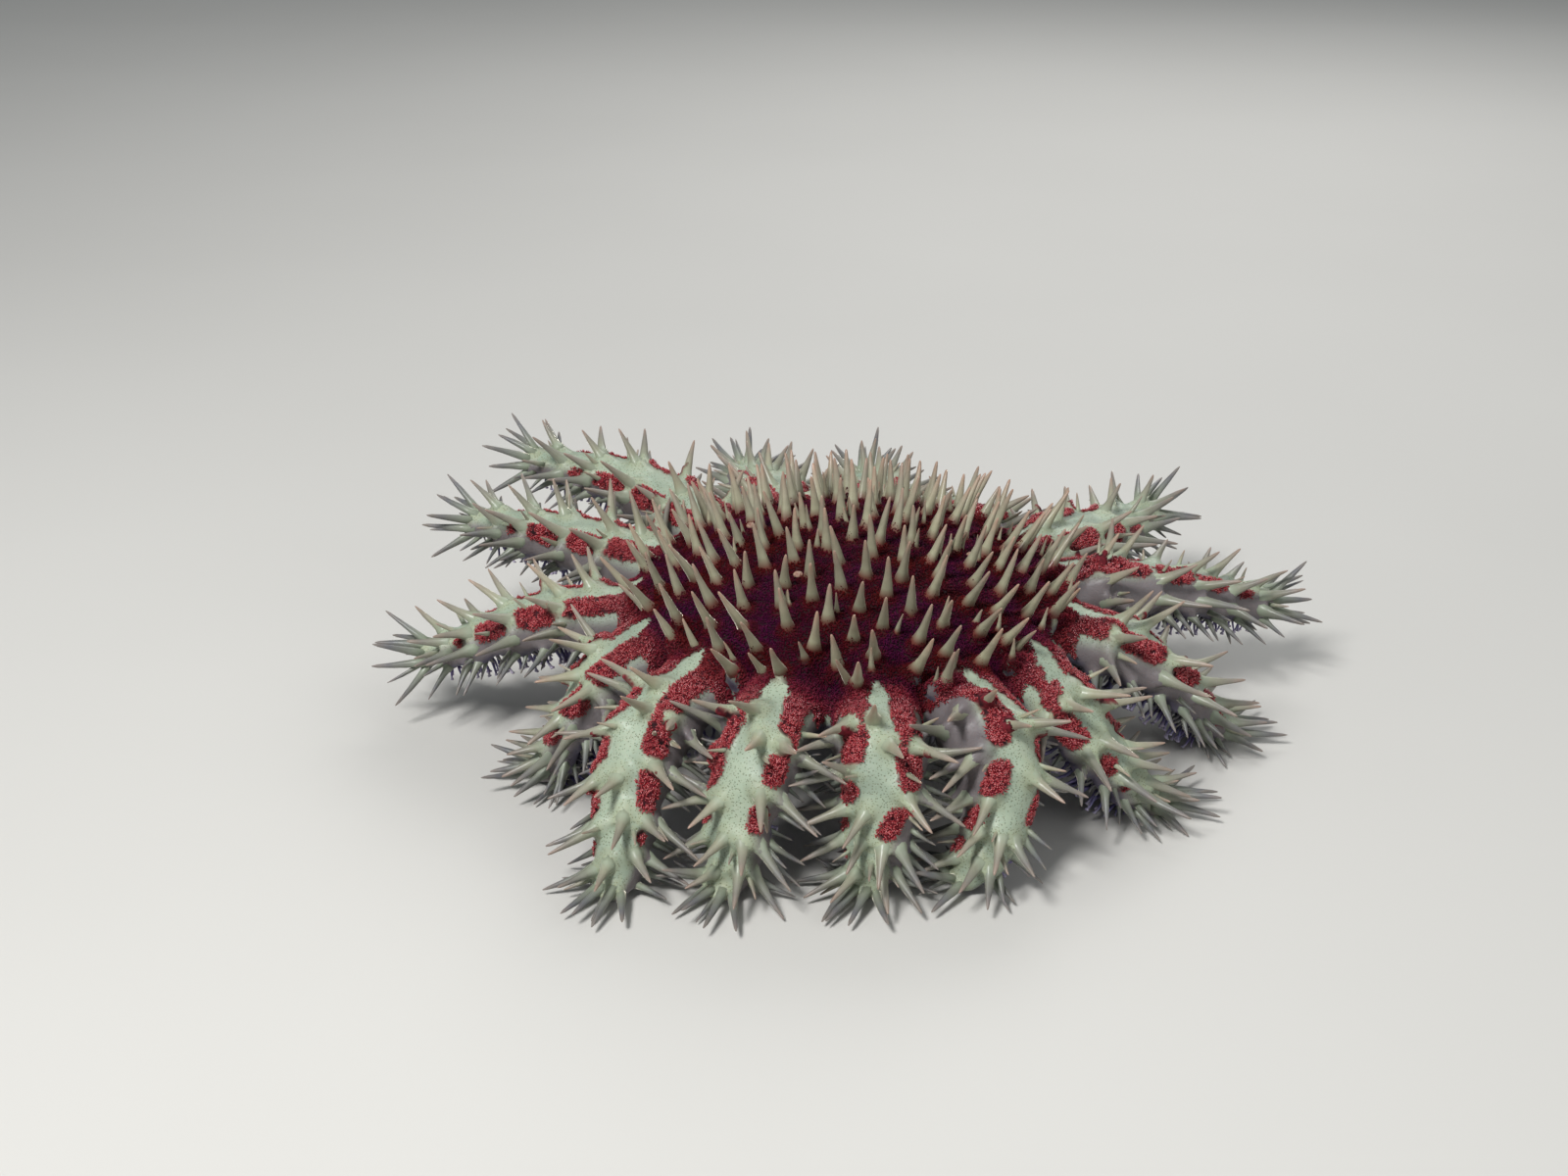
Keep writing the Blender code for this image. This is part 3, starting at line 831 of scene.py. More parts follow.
def collars(spines):
    """The flesh round the spines' feet, as one mesh of overlapping closed forms."""
    template = turned(COLLAR, 10)
    own = numbers(template.vertices, "co", 3)
    root, along, across, aim = spine_axes(spines)
    sizes = np.array([COLLAR_SIZES[spine.kind] for spine in spines])
    taper = np.array([1 - 0.35 * spine.share for spine in spines])
    width = sizes[:, 0] * MM * taper
    height = sizes[:, 1] * MM * taper
    stretch = sizes[:, 2]
    root = root - aim * SKIN_DEPTH
    deep = np.array([COLLAR_SINK if spine.node == "disc" else 1.0 for spine in spines])
    rise = own[None, :, 2] * np.where(own[None, :, 2] < 0, deep[:, None], 1.0) * height[:, None]
    coords = root[:, None, :] + aim[:, None, :] * rise[..., None]
    coords += along[:, None, :] * (own[None, :, 0] * (width / stretch**0.5)[:, None])[..., None]
    coords += across[:, None, :] * (own[None, :, 1] * (width * stretch)[:, None])[..., None]
    return repeated("collars", template, coords)


def joined(meshes):
    """One mesh of several."""
    bm = bmesh.new()
    for mesh in meshes:
        bm.from_mesh(mesh)
    made = bpy.data.meshes.new("joined")
    bm.to_mesh(made)
    bm.free()
    return made


def modified(mesh, kind, **settings):
    """A mesh as one modifier leaves it."""
    obj = bpy.data.objects.new("work", mesh)
    bpy.context.scene.collection.objects.link(obj)
    modifier = obj.modifiers.new("work", kind)
    for name, value in settings.items():
        setattr(modifier, name, value)
    graph = bpy.context.evaluated_depsgraph_get()
    made = bpy.data.meshes.new_from_object(obj.evaluated_get(graph))
    bpy.data.objects.remove(obj)
    return made


def relax(points, edges, rounds, share):
    """Moves each point towards the mean of its neighbours."""
    count = np.bincount(edges.ravel(), minlength=len(points))[:, None]
    for _ in range(rounds):
        total = np.stack(
            [
                np.bincount(edges[:, 0], points[edges[:, 1], axis], len(points))
                + np.bincount(edges[:, 1], points[edges[:, 0], axis], len(points))
                for axis in range(3)
            ],
            1,
        )
        points = points + share * (total / count - points)
    return points


def make_skin(shapes, spines, markings):
    """One skin over the disc and arms, with swollen gill patches and furrows for the feet."""
    disc = turned(disc_profile(), 90)
    disc.transform(Matrix.Translation(CENTRE))
    solids = joined([disc, *(arm_mesh(shape) for shape in shapes), collars(spines)])
    mesh = modified(solids, "REMESH", mode="VOXEL", voxel_size=SKIN_VOXEL)
    points = numbers(mesh.vertices, "co", 3)
    edges = numbers(mesh.edges, "vertices", 2, np.int32)
    points = relax(points, edges, 2, 0.5)
    mesh.vertices.foreach_set("co", points.ravel())
    mesh.update()
    normals = numbers(mesh.vertices, "normal", 3)
    marks = markings.read(points, normals)
    swell = MM * marks["red"] * (0.9 - 0.7 * marks["pits"]) * (1 - marks["disc"])
    swell += 0.35 * MM * ripple(points, 7 * MM) * marks["disc"]
    points += normals * swell[:, None]
    radius = marks["radius"]
    under_disc = marks["under"] * (1 - step(74 * MM, 84 * MM, radius)) * step(9 * MM, 20 * MM, radius)
    groove = np.exp(-((marks["aside"] / GROOVE_WIDTH) ** 2)) * under_disc
    points[:, 2] += UNDER_GROOVE * groove
    mouth = np.exp(-((radius / (8 * MM)) ** 4)) * (normals[:, 2] < 0)
    points[:, 2] += 7 * MM * mouth
    points = relax(points, edges, 1, 0.4)
    points[:, 2] = np.maximum(points[:, 2], FLOOR_LEVEL)
    mesh.vertices.foreach_set("co", points.ravel())
    mesh.update()
    return mesh


def thinned(mesh, markings):
    """The skin with fewer triangles where it is smooth, and its markings stored."""
    triangles = numbers(mesh.polygons, "loop_total", kind=np.int32).sum() - 2 * len(mesh.polygons)
    if triangles > SKIN_TRIANGLES:
        mesh = modified(mesh, "DECIMATE", ratio=SKIN_TRIANGLES / triangles)
    marks = markings.read(numbers(mesh.vertices, "co", 3), numbers(mesh.vertices, "normal", 3))
    for name in ("red", "disc", "under", "side", "warm", "bare", "pits"):
        set_values(mesh, name, marks[name])
    mesh.shade_smooth()
    return mesh


# The gills, small soft fingers that stand close together, shorter, wider and fewer on the disc.
GILL = ((0, -0.6), (1.0, 0.4), (0, 1))
GILL_SIDES = 4
GILLS_TO_FACE = 5.1
GILL_TRIANGLES = 180000  # most to a piece
TUFT = 14  # gills to a tuft, which leans apart
EVEN_STEPS = (0.7549, 0.5698)  # steps that spread places evenly over a square


def unwrapped(marks):
    """Each place's own spot on a flat layout of the skin: the disc above, an arm to each strip."""
    share, angle, radius = marks["share"], marks["angle"], marks["radius"]
    arm = marks["arm"]
    on_disc = share < 0
    flat = marks["flat"] / DISC_RADIUS
    strip = (arm + 0.5 + 0.45 * angle / 180) / len(ARMS)
    u = np.where(on_disc, 0.25 + 0.24 * flat[:, 0], strip)
    v = np.where(on_disc, 0.75 + 0.24 * flat[:, 1], 0.02 + 0.45 * np.clip(share, 0, 1))
    return np.stack([u, v], 1)


def make_gills(mesh, markings):
    """Gills all over the gill patches, in small tufts, closest along the arms."""
    rng = np.random.default_rng(SEED)
    place = numbers(mesh.polygons, "center", 3)
    normal = numbers(mesh.polygons, "normal", 3)
    marks = markings.read(place, normal)
    wanted = (marks["gills"] > 0.5) * GILLS_TO_FACE * (1 - 0.4 * marks["disc"])
    pick = np.repeat(np.arange(len(place)), np.floor(wanted + rng.random(len(place))).astype(int))
    place, normal = place[pick], normal[pick]
    marks = {name: values[pick] for name, values in marks.items()}
    marks["flat"] = place[:, :2] - np.array(CENTRE)[:2]
    count = len(place)
    template = turned(GILL, GILL_SIDES)
    own = numbers(template.vertices, "co", 3)
    other = np.where(np.abs(normal[:, :1]) < 0.7, [[1.0, 0, 0]], [[0, 1.0, 0]])
    east = unit(np.cross(normal, other))
    north = np.cross(normal, east)
    turn = np.arange(count)[:, None] * np.array(EVEN_STEPS) + rng.random((count, 2)) * 0.25
    slide = (turn % 1 - 0.5) * SKIN_VOXEL
    place = place + east * slide[:, :1] + north * slide[:, 1:]
    middles = rng.choice(count, count // TUFT, replace=False)
    tree = kdtree.KDTree(len(middles))
    for i, middle in enumerate(place[middles]):
        tree.insert(middle, i)
    tree.balance()
    tuft = np.array([tree.find(point)[1] for point in place])
    slant = place - place[middles[tuft]] + (east + north) * 0.1 * MM
    slant = unit(slant - normal * (slant * normal).sum(1, keepdims=True))
    aim = unit(normal + slant * rng.uniform(0.2, 0.75, count)[:, None])
    disc = marks["disc"]
    length = MM * (0.95 - 0.15 * disc) * rng.uniform(0.55, 1.15, count)
    length *= np.clip(2.4 * marks["gills"] - 0.75, 0.5, 1)
    width = MM * (0.28 + 0.07 * disc) * rng.uniform(0.8, 1.2, count)
    coords = place[:, None, :] + aim[:, None, :] * (own[None, :, 2] * length[:, None])[..., None]
    coords += slant[:, None, :] * (0.4 * own[None, :, 2] ** 2 * length[:, None])[..., None]
    coords += east[:, None, :] * (own[None, :, 0] * width[:, None])[..., None]
    coords += north[:, None, :] * (own[None, :, 1] * width[:, None])[..., None]
    coords[..., 2] = np.maximum(coords[..., 2], FLOOR_LEVEL)
    map_places = unwrapped(marks)
    tone = 0.5 * rng.random(count) + 0.5 * rng.random(len(middles))[tuft]
    group = np.argsort(marks["arm"] + marks["share"], kind="stable")
    parts = (("disc_gills", disc > 0.5, DISC_GILL), ("arm_gills", disc <= 0.5, ARM_GILL))
    for label, chosen, finish in parts:
        chosen = group[chosen[group]]
        pieces = math.ceil(len(chosen) * len(template.polygons) / GILL_TRIANGLES)
        for number, members in enumerate(np.array_split(chosen, pieces)):
            made = repeated(f"{label}_{number + 1}", template, coords[members])
            set_values(made, "height", np.tile(own[:, 2], len(members)))
            set_values(made, "tone", np.repeat(tone[members], len(own)))
            for name in ("disc", "warm"):
                set_values(made, name, np.repeat(marks[name][members], len(own)))
            spread_map(made, template, map_places[members], 0.003)
            piece(made, f"{label}_{number + 1}", finish, "papulae")


# The spines themselves: a turned limy rod, wider at its foot, with a blunt point.
DISC_THORN = (
    (0, -0.2),
    (1.25, -0.2),
    (1.14, 0.0),
    (0.97, 0.1),
    (0.83, 0.2),
    (0.71, 0.33),
    (0.6, 0.48),
    (0.49, 0.63),
    (0.38, 0.78),
    (0.28, 0.9),
    (0.2, 0.965),
    (0.1, 0.995),
    (0, 1.0),
)
ARM_THORN = (
    (0, -0.15),
    (1.4, -0.15),
    (1.2, 0.02),
    (0.92, 0.12),
    (0.74, 0.24),
    (0.6, 0.4),
    (0.48, 0.58),
    (0.35, 0.77),
    (0.21, 0.93),
    (0.1, 0.99),
    (0, 1.0),
)
SMALL_THORN = ((0, -0.2), (1.1, -0.2), (0.85, 0.2), (0.62, 0.55), (0.36, 0.88), (0.14, 0.98), (0, 1.0))


def make_spines(name, profile, sides, spines, material, seed):
    """Spines with slightly bent, uneven shafts, as one piece."""
    rng = np.random.default_rng(seed)
    template = turned(profile, sides)
    own = numbers(template.vertices, "co", 3)
    root, along, across, aim = spine_axes(spines)
    count = len(spines)
    length = np.array([spine.length for spine in spines])[:, None]
    radius = np.array([spine.radius for spine in spines])[:, None]
    height = own[None, :, 2]
    ridge = np.arctan2(own[:, 1], own[:, 0])[None, :] * 3
    phase = rng.random((count, 1)) * math.tau
    width = radius * (1 + 0.07 * np.sin(ridge + phase) + 0.05 * np.sin(9 * height + 2 * phase))
    bend = (rng.random((count, 2)) - 0.5) * 0.12
    rise = np.maximum(height, 0) ** 2 * length
    coords = root[:, None, :] + aim[:, None, :] * (height * length)[..., None]
    coords += along[:, None, :] * (own[None, :, 0] * width + bend[:, :1] * rise)[..., None]
    coords += across[:, None, :] * (own[None, :, 1] * width * 1.12 + bend[:, 1:] * rise)[..., None]
    coords[..., 2] = np.maximum(coords[..., 2], FLOOR_LEVEL)
    mesh = repeated(name, template, coords)
    set_values(mesh, "height", np.tile(own[:, 2], count))
    set_values(mesh, "tone", np.repeat(rng.random(count), len(own)))
    dusk = [grey_violet_and_shade_of(spine) for spine in spines]
    set_values(mesh, "dusk", np.repeat(dusk, len(own)))
    places, size = grid_places(count)
    spread_map(mesh, template, places, size)
    return piece(mesh, name, material, "spines")


def grey_violet_and_shade_of(spine):
    """How far a spine's colour goes from cream to the violet grey of the tips and underside, which is partly
    painted shade, strongest on the spines low on the arms' sides.
    """
    if spine.node == "disc":
        return 0.0
    if spine.kind in ("row_9", "small"):
        return 0.45 * spine.share
    return {"row_46": 0.15 + 0.5 * spine.share, "row_80": 0.45 + 0.4 * spine.share}.get(spine.kind, 0.85)


# Tube feet in two rows along each furrow, and the flat spines that fence it.
FOOT = ((0, -0.1), (0.9, -0.05), (0.8, 0.3), (0.62, 0.7), (0.68, 0.88), (1.2, 0.95), (0.9, 1.0), (0, 0.97))
PEG = ((0, -0.2), (1, -0.1), (1, 0.4), (0.8, 0.85), (0.35, 1.0), (0, 1.02))
FEET_START = 17 * MM  # radius where the first tube feet stand
PEG_SINK = 0.8 * MM


def furrow_place(shape, distance):
    """The middle of an arm's foot furrow at a distance from the disc's axis, and its directions."""
    if distance < DISC_RADIUS:
        out = bearing(shape.arm.base)
        middle = CENTRE + out * distance
        middle.z = vault(distance) + SKIN_DEPTH * 0.6
        return middle, out, out.cross(UP), -UP
    share = min(1.0, (distance - DISC_RADIUS) / shape.length)
    along, side, back = shape.axes(share)
    return shape.skin(share, 180, SKIN_DEPTH, 0.0), along, side, -back


def along_furrows(shapes, spacing, offsets, end):
    """Places along every furrow, with the side of it they are on."""
    for shape in shapes:
        reach = DISC_RADIUS + shape.length * end
        for i in range(int((reach - FEET_START) / spacing)):
            for number, offset in enumerate(offsets):
                distance = FEET_START + spacing * (i + 0.5 * (number % 2))
                middle, along, side, down = furrow_place(shape, distance)
                taper = 1 - 0.45 * max(0.0, (distance - DISC_RADIUS) / shape.length)
                yield middle + side * offset * taper, along, side * math.copysign(1, offset), down, taper


def hang(name, template, places, rng, sizes, material, slot, splay, sink):
    """Copies of a small form that hang from the underside, no lower than the floor."""
    own = numbers(template.vertices, "co", 3)
    root, along, side, down = (np.array(column) for column in list(zip(*places))[:4])
    taper = np.array([place[4] for place in places])
    count = len(places)
    swing = along * rng.uniform(-0.3, 0.3, count)[:, None]
    aim = unit(down + side * rng.uniform(*splay, count)[:, None] + swing)
    root = root - down * sink
    length = rng.uniform(*sizes[0], count) * MM * taper
    width = rng.uniform(*sizes[1], count) * MM * taper
    room = np.maximum(root[:, 2] - 0.4 * MM, 1.2 * MM) / np.maximum(-aim[:, 2], 0.05)
    length = np.minimum(length, room)
    across = unit(np.cross(aim, along))
    fore = np.cross(across, aim)
    bend = rng.uniform(-0.28, 0.28, count)
    coords = root[:, None, :] + aim[:, None, :] * (own[None, :, 2] * length[:, None])[..., None]
    coords += fore[:, None, :] * (own[None, :, 0] * width[:, None])[..., None]
    coords += across[:, None, :] * (own[None, :, 1] * width[:, None])[..., None]
    arch = np.sin(np.clip(own[None, :, 2], 0, 1) * math.pi) * (bend * length)[:, None]
    coords += fore[:, None, :] * arch[..., None]
    coords[..., 2] = np.maximum(coords[..., 2], FLOOR_LEVEL)
    mesh = repeated(name, template, coords)
    set_values(mesh, "height", np.tile(own[:, 2], count))
    set_values(mesh, "tone", np.repeat(rng.random(count), len(own)))
    map_places, size = grid_places(count)
    spread_map(mesh, template, map_places, size)
    return piece(mesh, name, material, slot)


def make_underside(shapes):
    """The tube feet, the spines beside the furrows, and those between them and round the mouth."""
    rng = np.random.default_rng(SEED + 4)
    peg = turned(PEG, 6)
    feet = list(along_furrows(shapes, 2.9 * MM, (-1.7 * MM, 1.7 * MM), 0.93))
    foot_sizes = ((6, 9.5), (0.8, 1.05))
    hang("tube_feet", turned(FOOT, 6), feet, rng, foot_sizes, FOOT_SKIN, "tube_feet", (-0.1, 0.5), -2.2 * MM)
    pegs = list(along_furrows(shapes, 2.5 * MM, (-4.6 * MM, 4.6 * MM), 0.95))
    peg_sizes = ((4.2, 6), (0.55, 0.75))
    hang("furrow_spines", peg, pegs, rng, peg_sizes, LOW_SPINE, "spines", (-0.5, -0.1), PEG_SINK)
    between = []
    picks = random.Random(SEED + 5)
    for shape, following in zip(shapes, shapes[1:] + shapes[:1]):
        span = (following.arm.base - shape.arm.base) % 360
        for i in range(15):
            radius = (25 + 3.3 * i) * MM
            for part in ((0.5,) if radius < 45 * MM else (0.4, 0.6)):
                out = bearing(shape.arm.base + span * (part + picks.uniform(-0.03, 0.03)))
                place = CENTRE + out * radius
                place.z = vault(radius) + SKIN_DEPTH * 0.6
                between.append((place, out, out.cross(UP) * picks.choice((-1, 1)), -UP, 1.0))
    between_sizes = ((5, 9), (0.8, 1.1))
    hang("under_spines", peg, between, rng, between_sizes, LOW_SPINE, "spines", (-0.2, 0.3), PEG_SINK)
    mouth = []
    for shape in shapes:
        for spread, radius in ((-6, 12), (0, 11), (6, 12), (0, 15)):
            out = bearing(shape.arm.base + 12 + spread)
            place = CENTRE + out * radius * MM
            place.z = vault(radius * MM) + SKIN_DEPTH
            mouth.append((place, out, -out, -UP, 1.0))
    mouth_sizes = ((8, 11), (0.75, 1.0))
    hang("mouth_spines", peg, mouth, rng, mouth_sizes, LOW_SPINE, "mouth", (0.5, 0.9), PEG_SINK)


# Sieve plates, pale buttons with winding grooves.
SIEVES = ((31, -35), (36, 48), (33, 118), (38, -118), (35, 176), (40, 82))


def make_sieves():
    bm = bmesh.new()
    for radius, azimuth in SIEVES:
        place = CENTRE + bearing(azimuth) * radius * MM
        place.z = dome(radius * MM) - 0.2 * MM
        turn = Matrix.Translation(place) @ Matrix.Diagonal((1.6 * MM, 1.6 * MM, 1.0 * MM, 1))
        made = bmesh.ops.create_icosphere(bm, subdivisions=4, radius=1.0, matrix=turn)["verts"]
        for vert in made:
            offset = vert.co - place
            fold = math.sin(math.atan2(offset.y, offset.x) * 11 + 5 * noise.noise(vert.co / (1.5 * MM)))
            vert.co.z += 0.12 * MM * fold * min(1, offset.xy.length / (0.7 * MM))
    bmesh.ops.recalc_face_normals(bm, faces=bm.faces)
    mesh = bpy.data.meshes.new("sieve_plates")
    bm.to_mesh(mesh)
    bm.free()
    mesh.shade_smooth()
    piece(mesh, "sieve_plates", SIEVE_PLATE, "spines")


# Materials.


def colour(text, alpha=1.0):
    """A linear colour from an sRGB hex value."""
    parts = [int(text[i : i + 2], 16) / 255 for i in (0, 2, 4)]
    return (*(c / 12.92 if c <= 0.04045 else ((c + 0.055) / 1.055) ** 2.4 for c in parts), alpha)


class Finish:
    """A material under construction."""

    def __init__(self, name, roughness, **settings):
        self.material = bpy.data.materials.new(name)
        self.material.use_nodes = True
        self.tree = self.material.node_tree
        self.shader = self.tree.nodes["Principled BSDF"]
        self.shader.inputs["Roughness"].default_value = roughness
        for key, value in settings.items():
            self.shader.inputs[key.replace("_", " ")].default_value = value
        self.object = self.node("ShaderNodeTexCoord").outputs["Object"]

    def node(self, kind, links=(), **settings):
        """Adds a node, sets its properties, and fills its inputs with values or links."""
        made = self.tree.nodes.new(kind)
        for key, value in settings.items():
            setattr(made, key, value)
        for key, value in dict(links).items():
            if isinstance(value, bpy.types.NodeSocket):
                self.tree.links.new(value, made.inputs[key])
            else:
                made.inputs[key].default_value = value
        return made

    def value(self, name):
        """A number stored on the mesh."""
        return self.node("ShaderNodeAttribute", attribute_name=name).outputs["Fac"]

    def noise(self, size, detail=3.0):
        """Cloudy variation with features of about this size."""
        links = {"Vector": self.object, "Scale": 1 / size, "Detail": detail}
        return self.node("ShaderNodeTexNoise", links).outputs["Fac"]

    def spots(self, size):
        """Distance from the middle of the nearest of many scattered spots."""
        links = {"Vector": self.object, "Scale": 1 / size}
        return self.node("ShaderNodeTexVoronoi", links).outputs["Distance"]

    def ramp(self, value, *stops):
        """A colour or grey that changes with a value, from (place, colour) stops."""
        made = self.node("ShaderNodeValToRGB", {"Fac": value})
        elements = made.color_ramp.elements
        while len(elements) < len(stops):
            elements.new(0.5)
        for element, (place, shade) in zip(elements, stops):
            element.position = place
            element.color = colour(shade) if isinstance(shade, str) else (shade, shade, shade, 1)
        return made.outputs["Color"]

    def mix(self, factor, first, second, blend="MIX"):
        """A mix of two colours."""
        links = {0: factor}
        made = self.node("ShaderNodeMix", links, data_type="RGBA", blend_type=blend)
        for place, shade in ((6, first), (7, second)):
            if isinstance(shade, str):
                made.inputs[place].default_value = colour(shade)
            else:
                self.tree.links.new(shade, made.inputs[place])
        return made.outputs[2]

    def math(self, operation, *values):
        """Arithmetic on numbers."""
        return self.node("ShaderNodeMath", dict(enumerate(values)), operation=operation).outputs[0]

    def paint(self, shade, height=None, relief=0.0):
        """Sets the colour and the fine relief, in metres."""
        self.tree.links.new(shade, self.shader.inputs["Base Color"])
        if height is not None:
            links = {"Height": height, "Distance": relief, "Strength": 1.0}
            bump = self.node("ShaderNodeBump", links)
            self.tree.links.new(bump.outputs["Normal"], self.shader.inputs["Normal"])
        return self.material


def skin_finish():
    """Wet starfish skin: pale and finely pored along the arms, velvety maroon on the disc, darkened there
    with painted shade.
    """
    skin = Finish("wet_starfish_skin", 0.42, Specular_IOR_Level=0.3, Subsurface_Weight=0.08)
    skin.shader.inputs["Subsurface Radius"].default_value = (0.004, 0.0015, 0.001)
    skin.shader.inputs["Subsurface Scale"].default_value = 0.5
    skin.shader.inputs["Coat Roughness"].default_value = 0.3
    smooth = skin.math("SUBTRACT", 1.0, skin.value("red"))
    gloss = skin.math("MULTIPLY", smooth, 0.09)
    skin.tree.links.new(gloss, skin.shader.inputs["Coat Weight"])
    skin.tree.links.new(skin.math("MULTIPLY_ADD", smooth, -0.34, 0.82), skin.shader.inputs["Roughness"])
    cloud = skin.noise(14 * MM)
    grain = skin.noise(1.2 * MM)
    pores = skin.ramp(skin.spots(0.75 * MM), (0.14, 0.0), (0.38, 1.0))
    pale = skin.ramp(cloud, (0.3, "8C9988"), (0.6, "9FAC97"), (0.8, "ADB39F"))
    pale = skin.mix(pores, "68705A", pale)
    pale = skin.mix(skin.math("MULTIPLY", skin.value("warm"), 0.25), pale, "9C9668")
    # The flanks' grey mauve, partly their own colour and partly painted shade.
    pale = skin.mix(skin.value("side"), pale, "6F6869")
    # The disc's own dark maroon, made darker still with painted shade.
    disc = skin.ramp(cloud, (0.3, "180408"), (0.5, "1E060C"), (0.72, "1C0714"))
    gill_bed = skin.ramp(grain, (0.35, "521019"), (0.65, "7A1C2A"))
    red = skin.mix(skin.value("disc"), gill_bed, disc)
    shade = skin.mix(skin.value("red"), pale, red)
    foot = skin.math("MULTIPLY", skin.value("warm"), skin.value("disc"))
    shade = skin.mix(skin.math("MULTIPLY", foot, 0.5), shade, "48140F")
    shade = skin.mix(skin.value("bare"), shade, "8A7260")
    # Painted shade: the skin in the pit hollows is painted near black.
    shade = skin.mix(skin.value("pits"), shade, "22050B")
    under = skin.ramp(cloud, (0.3, "48435A"), (0.7, "66616F"))
    shade = skin.mix(skin.value("under"), shade, under)
    relief = skin.math("ADD", skin.math("MULTIPLY", pores, 0.5), skin.math("MULTIPLY", grain, 0.8))
    return skin.paint(shade, relief, 0.12 * MM)


def gill_finish(name, roughness, gloss):
    """Soft crimson gills, darker at their feet with painted shade between them; along the arms wet and
    pinker at their ends with a painted highlight, on the disc dark and velvety, darkened further with
    painted shade.
    """
    gill = Finish(name, roughness, Specular_IOR_Level=gloss, Subsurface_Weight=0.08)
    gill.shader.inputs["Subsurface Radius"].default_value = (0.002, 0.0006, 0.0004)
    gill.shader.inputs["Subsurface Scale"].default_value = 0.5
    height, tone = gill.value("height"), gill.value("tone")
    # Each gill's foot is painted dark as shade between the gills, and its end pink as a painted highlight,
    # over its own crimson.
    arm_shade_and_highlight = gill.ramp(height, (0.0, "560B15"), (0.5, "A0222B"), (0.95, "D67C7D"))
    other = gill.ramp(height, (0.0, "4C0912"), (0.6, "861A24"), (0.95, "A6343E"))
    arm_shade_and_highlight = gill.mix(tone, arm_shade_and_highlight, other)
    cloud = gill.noise(16 * MM)
    # The disc's gills: their own dark maroon darkened further with painted shade, and darker at their feet
    # as painted shade between them.
    dark = gill.ramp(height, (0.1, "1A0408"), (0.7, "380810"), (1.0, "520E1A"))
    violet = gill.ramp(height, (0.1, "180414"), (0.7, "380A28"), (1.0, "561840"))
    dark = gill.mix(gill.ramp(cloud, (0.38, 0.0), (0.62, 1.0)), dark, violet)
    shade = gill.mix(gill.value("disc"), arm_shade_and_highlight, dark)
    foot = gill.math("MULTIPLY", gill.value("warm"), gill.value("disc"))
    shade = gill.mix(gill.math("MULTIPLY", foot, 0.5), shade, "521610")
    return gill.paint(shade)


def spine_finish(name, foot):
    """Limy spines under thin skin: rough, cream to grey, with a paler bloom along their edges."""
    limy = Finish(name, 0.5, Specular_IOR_Level=0.4, Sheen_Weight=1.0, Sheen_Roughness=0.2)
    limy.shader.inputs["Sheen Tint"].default_value = colour("F0EAD6")
    limy.shader.inputs["Coat Weight"].default_value = 0.22
    limy.shader.inputs["Coat Roughness"].default_value = 0.2
    height, tone = limy.value("height"), limy.value("tone")
    cloud = limy.noise(5 * MM)
    grain = limy.noise(0.9 * MM)
    cream = limy.ramp(height, (0.04, foot), (0.24, "A8A68A"), (0.6, "A99F88"), (1.0, "B08C78"))
    grey = limy.ramp(height, (0.04, foot), (0.27, "8E8D78"), (0.7, "807B6E"), (1.0, "947A6C"))
    shade = limy.mix(limy.math("MULTIPLY", tone, 0.7), cream, grey)
    # The violet grey of the tips and underside, used most, partly as painted shade, on the spines low on the
    # arms' sides.
    grey_violet_and_shaded = limy.ramp(height, (0.0, "8C9583"), (0.25, "70766F"), (0.65, "565962"), (1.0, "787470"))
    shade = limy.mix(limy.value("dusk"), shade, grey_violet_and_shaded)
    shade = limy.mix(limy.ramp(cloud, (0.4, 0.0), (0.75, 0.35)), shade, "6E6A58")
    return limy.paint(shade, grain, 0.1 * MM)


def foot_finish():
    """Translucent tube feet, violet with paler suckers."""
    foot = Finish("translucent_tube_feet", 0.35, Specular_IOR_Level=0.5, Subsurface_Weight=0.15)
    foot.shader.inputs["Subsurface Radius"].default_value = (0.003, 0.002, 0.003)
    foot.shader.inputs["Subsurface Scale"].default_value = 0.5
    shade = foot.ramp(foot.value("height"), (0.0, "4A3F66"), (0.6, "6E6391"), (0.9, "B9AFC4"))
    return foot.paint(foot.mix(foot.math("MULTIPLY", foot.value("tone"), 0.4), shade, "5B6290"))


def low_spine_finish():
    """Blunt spines of the underside, grey violet with paler ends."""
    low = Finish("grey_underside_spines", 0.5, Specular_IOR_Level=0.4)
    shade = low.ramp(low.value("height"), (0.0, "5A5568"), (0.6, "7E7C80"), (1.0, "9A958C"))
    return low.paint(shade, low.noise(0.8 * MM), 0.08 * MM)


def sieve_finish():
    """Pale limy sieve plates with darker grooves."""
    plate = Finish("pale_sieve_plate", 0.5)
    shade = plate.ramp(plate.noise(0.9 * MM), (0.35, "7C5044"), (0.6, "A08370"))
    return plate.paint(shade, plate.noise(0.6 * MM), 0.1 * MM)


def floor_finish():
    """Matt painted floor."""
    floor = Finish("matt_floor", 0.8)
    return floor.paint(floor.ramp(floor.noise(400 * MM), (0.3, "C6C4BF"), (0.7, "CAC8C3")))


# The stage.


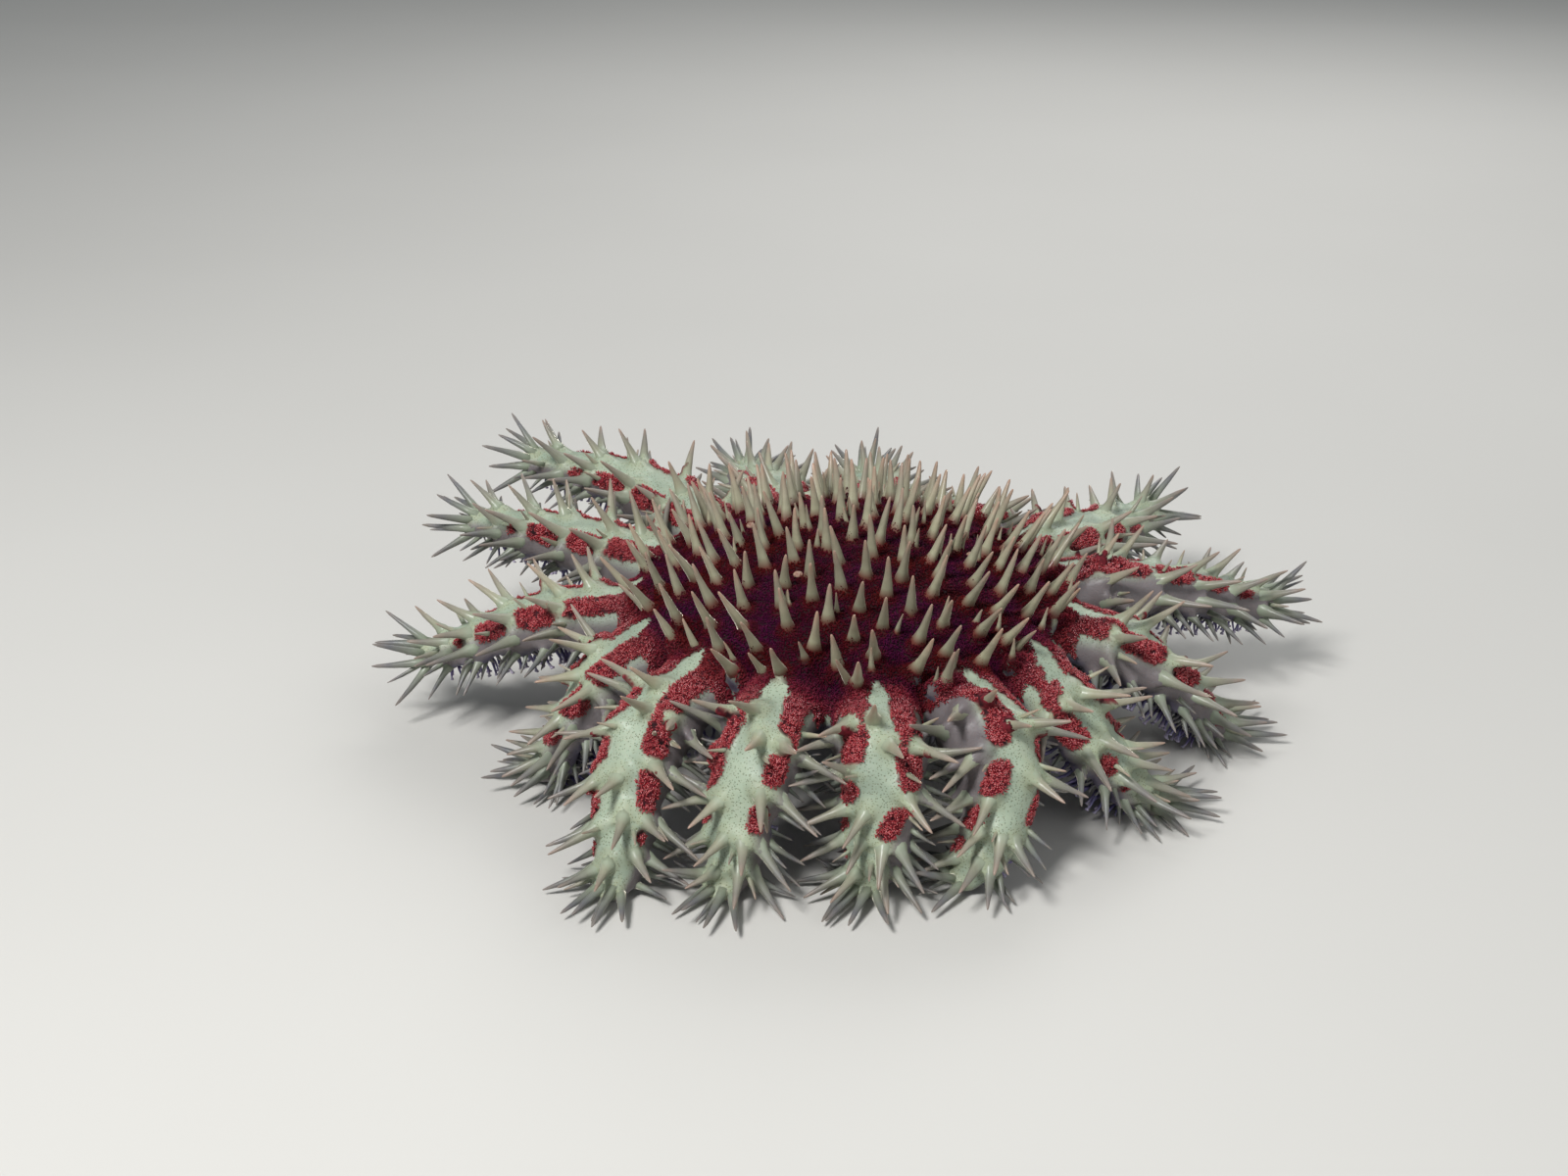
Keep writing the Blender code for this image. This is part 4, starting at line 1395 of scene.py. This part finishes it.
def make_stage():
    """A wide pale floor, soft lights and the photo's point of view."""
    bm = bmesh.new()
    bmesh.ops.create_grid(bm, x_segments=8, y_segments=8, size=6)
    mesh = bpy.data.meshes.new("floor")
    bm.to_mesh(mesh)
    bm.free()
    mesh.materials.append(floor_finish())
    floor = bpy.data.objects.new("floor", mesh)
    bpy.context.scene.collection.objects.link(floor)

    world = bpy.data.worlds.new("studio")
    world.use_nodes = True
    world.node_tree.nodes["Background"].inputs["Color"].default_value = colour("E4ECF2")
    world.node_tree.nodes["Background"].inputs["Strength"].default_value = 0.27
    bpy.context.scene.world = world
    for name, place, size, power in (
        ("key", (-0.5, -0.7, 1.1), 0.3, 18),
        ("fill", (1.0, -0.8, 0.7), 0.9, 3.5),
        ("back", (0.35, 1.0, 0.9), 0.7, 7),
    ):
        lamp = bpy.data.lights.new(name, "AREA")
        lamp.size = size
        lamp.energy = power
        light = bpy.data.objects.new(name, lamp)
        light.location = place
        light.rotation_euler = (Vector((0, 0, 0.05)) - light.location).to_track_quat("-Z", "Y").to_euler()
        bpy.context.scene.collection.objects.link(light)

    camera = bpy.data.cameras.new("camera")
    camera.sensor_width = 36
    camera.angle = math.radians(40)
    camera.clip_start = 0.01
    view = bpy.data.objects.new("camera", camera)
    view.location = CENTRE + Vector((-22.3, -656.2, 363.5)) * MM
    view.rotation_euler = (math.radians(65), 0, 0)
    bpy.context.scene.collection.objects.link(view)
    bpy.context.scene.camera = view
    bpy.context.scene.view_settings.view_transform = "Standard"


make_stage()
SKIN = skin_finish()
ARM_GILL = gill_finish("soft_crimson_arm_gills", 0.2, 0.75)
DISC_GILL = gill_finish("velvety_dark_disc_gills", 0.6, 0.04)
DISC_SPINE = spine_finish("limy_disc_spines", "6B3A30")
ARM_SPINE = spine_finish("limy_arm_spines", "9BA58D")
LOW_SPINE = low_spine_finish()
FOOT_SKIN = foot_finish()
SIEVE_PLATE = sieve_finish()

shapes = [ArmShape(arm) for arm in ARMS]
spines = lay_out_spines(shapes)
markings = Markings(shapes, spines)
dense = make_skin(shapes, spines, markings)
make_gills(dense, markings)
piece(thinned(dense, markings), "skin", SKIN, "skin", *sorted(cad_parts))
sets = {"disc": [], "row": [], "small": []}
for spine in spines:
    kind = "row" if spine.kind.startswith("row") else spine.kind
    sets["disc" if spine.node == "disc" else kind if kind == "row" else "small"].append(spine)
make_spines("disc_spines", DISC_THORN, 12, sets["disc"], DISC_SPINE, SEED + 7)
make_spines("arm_spines", ARM_THORN, 10, sets["row"], ARM_SPINE, SEED + 8)
make_spines("small_spines", SMALL_THORN, 8, sets["small"], ARM_SPINE, SEED + 9)
make_underside(shapes)
make_sieves()
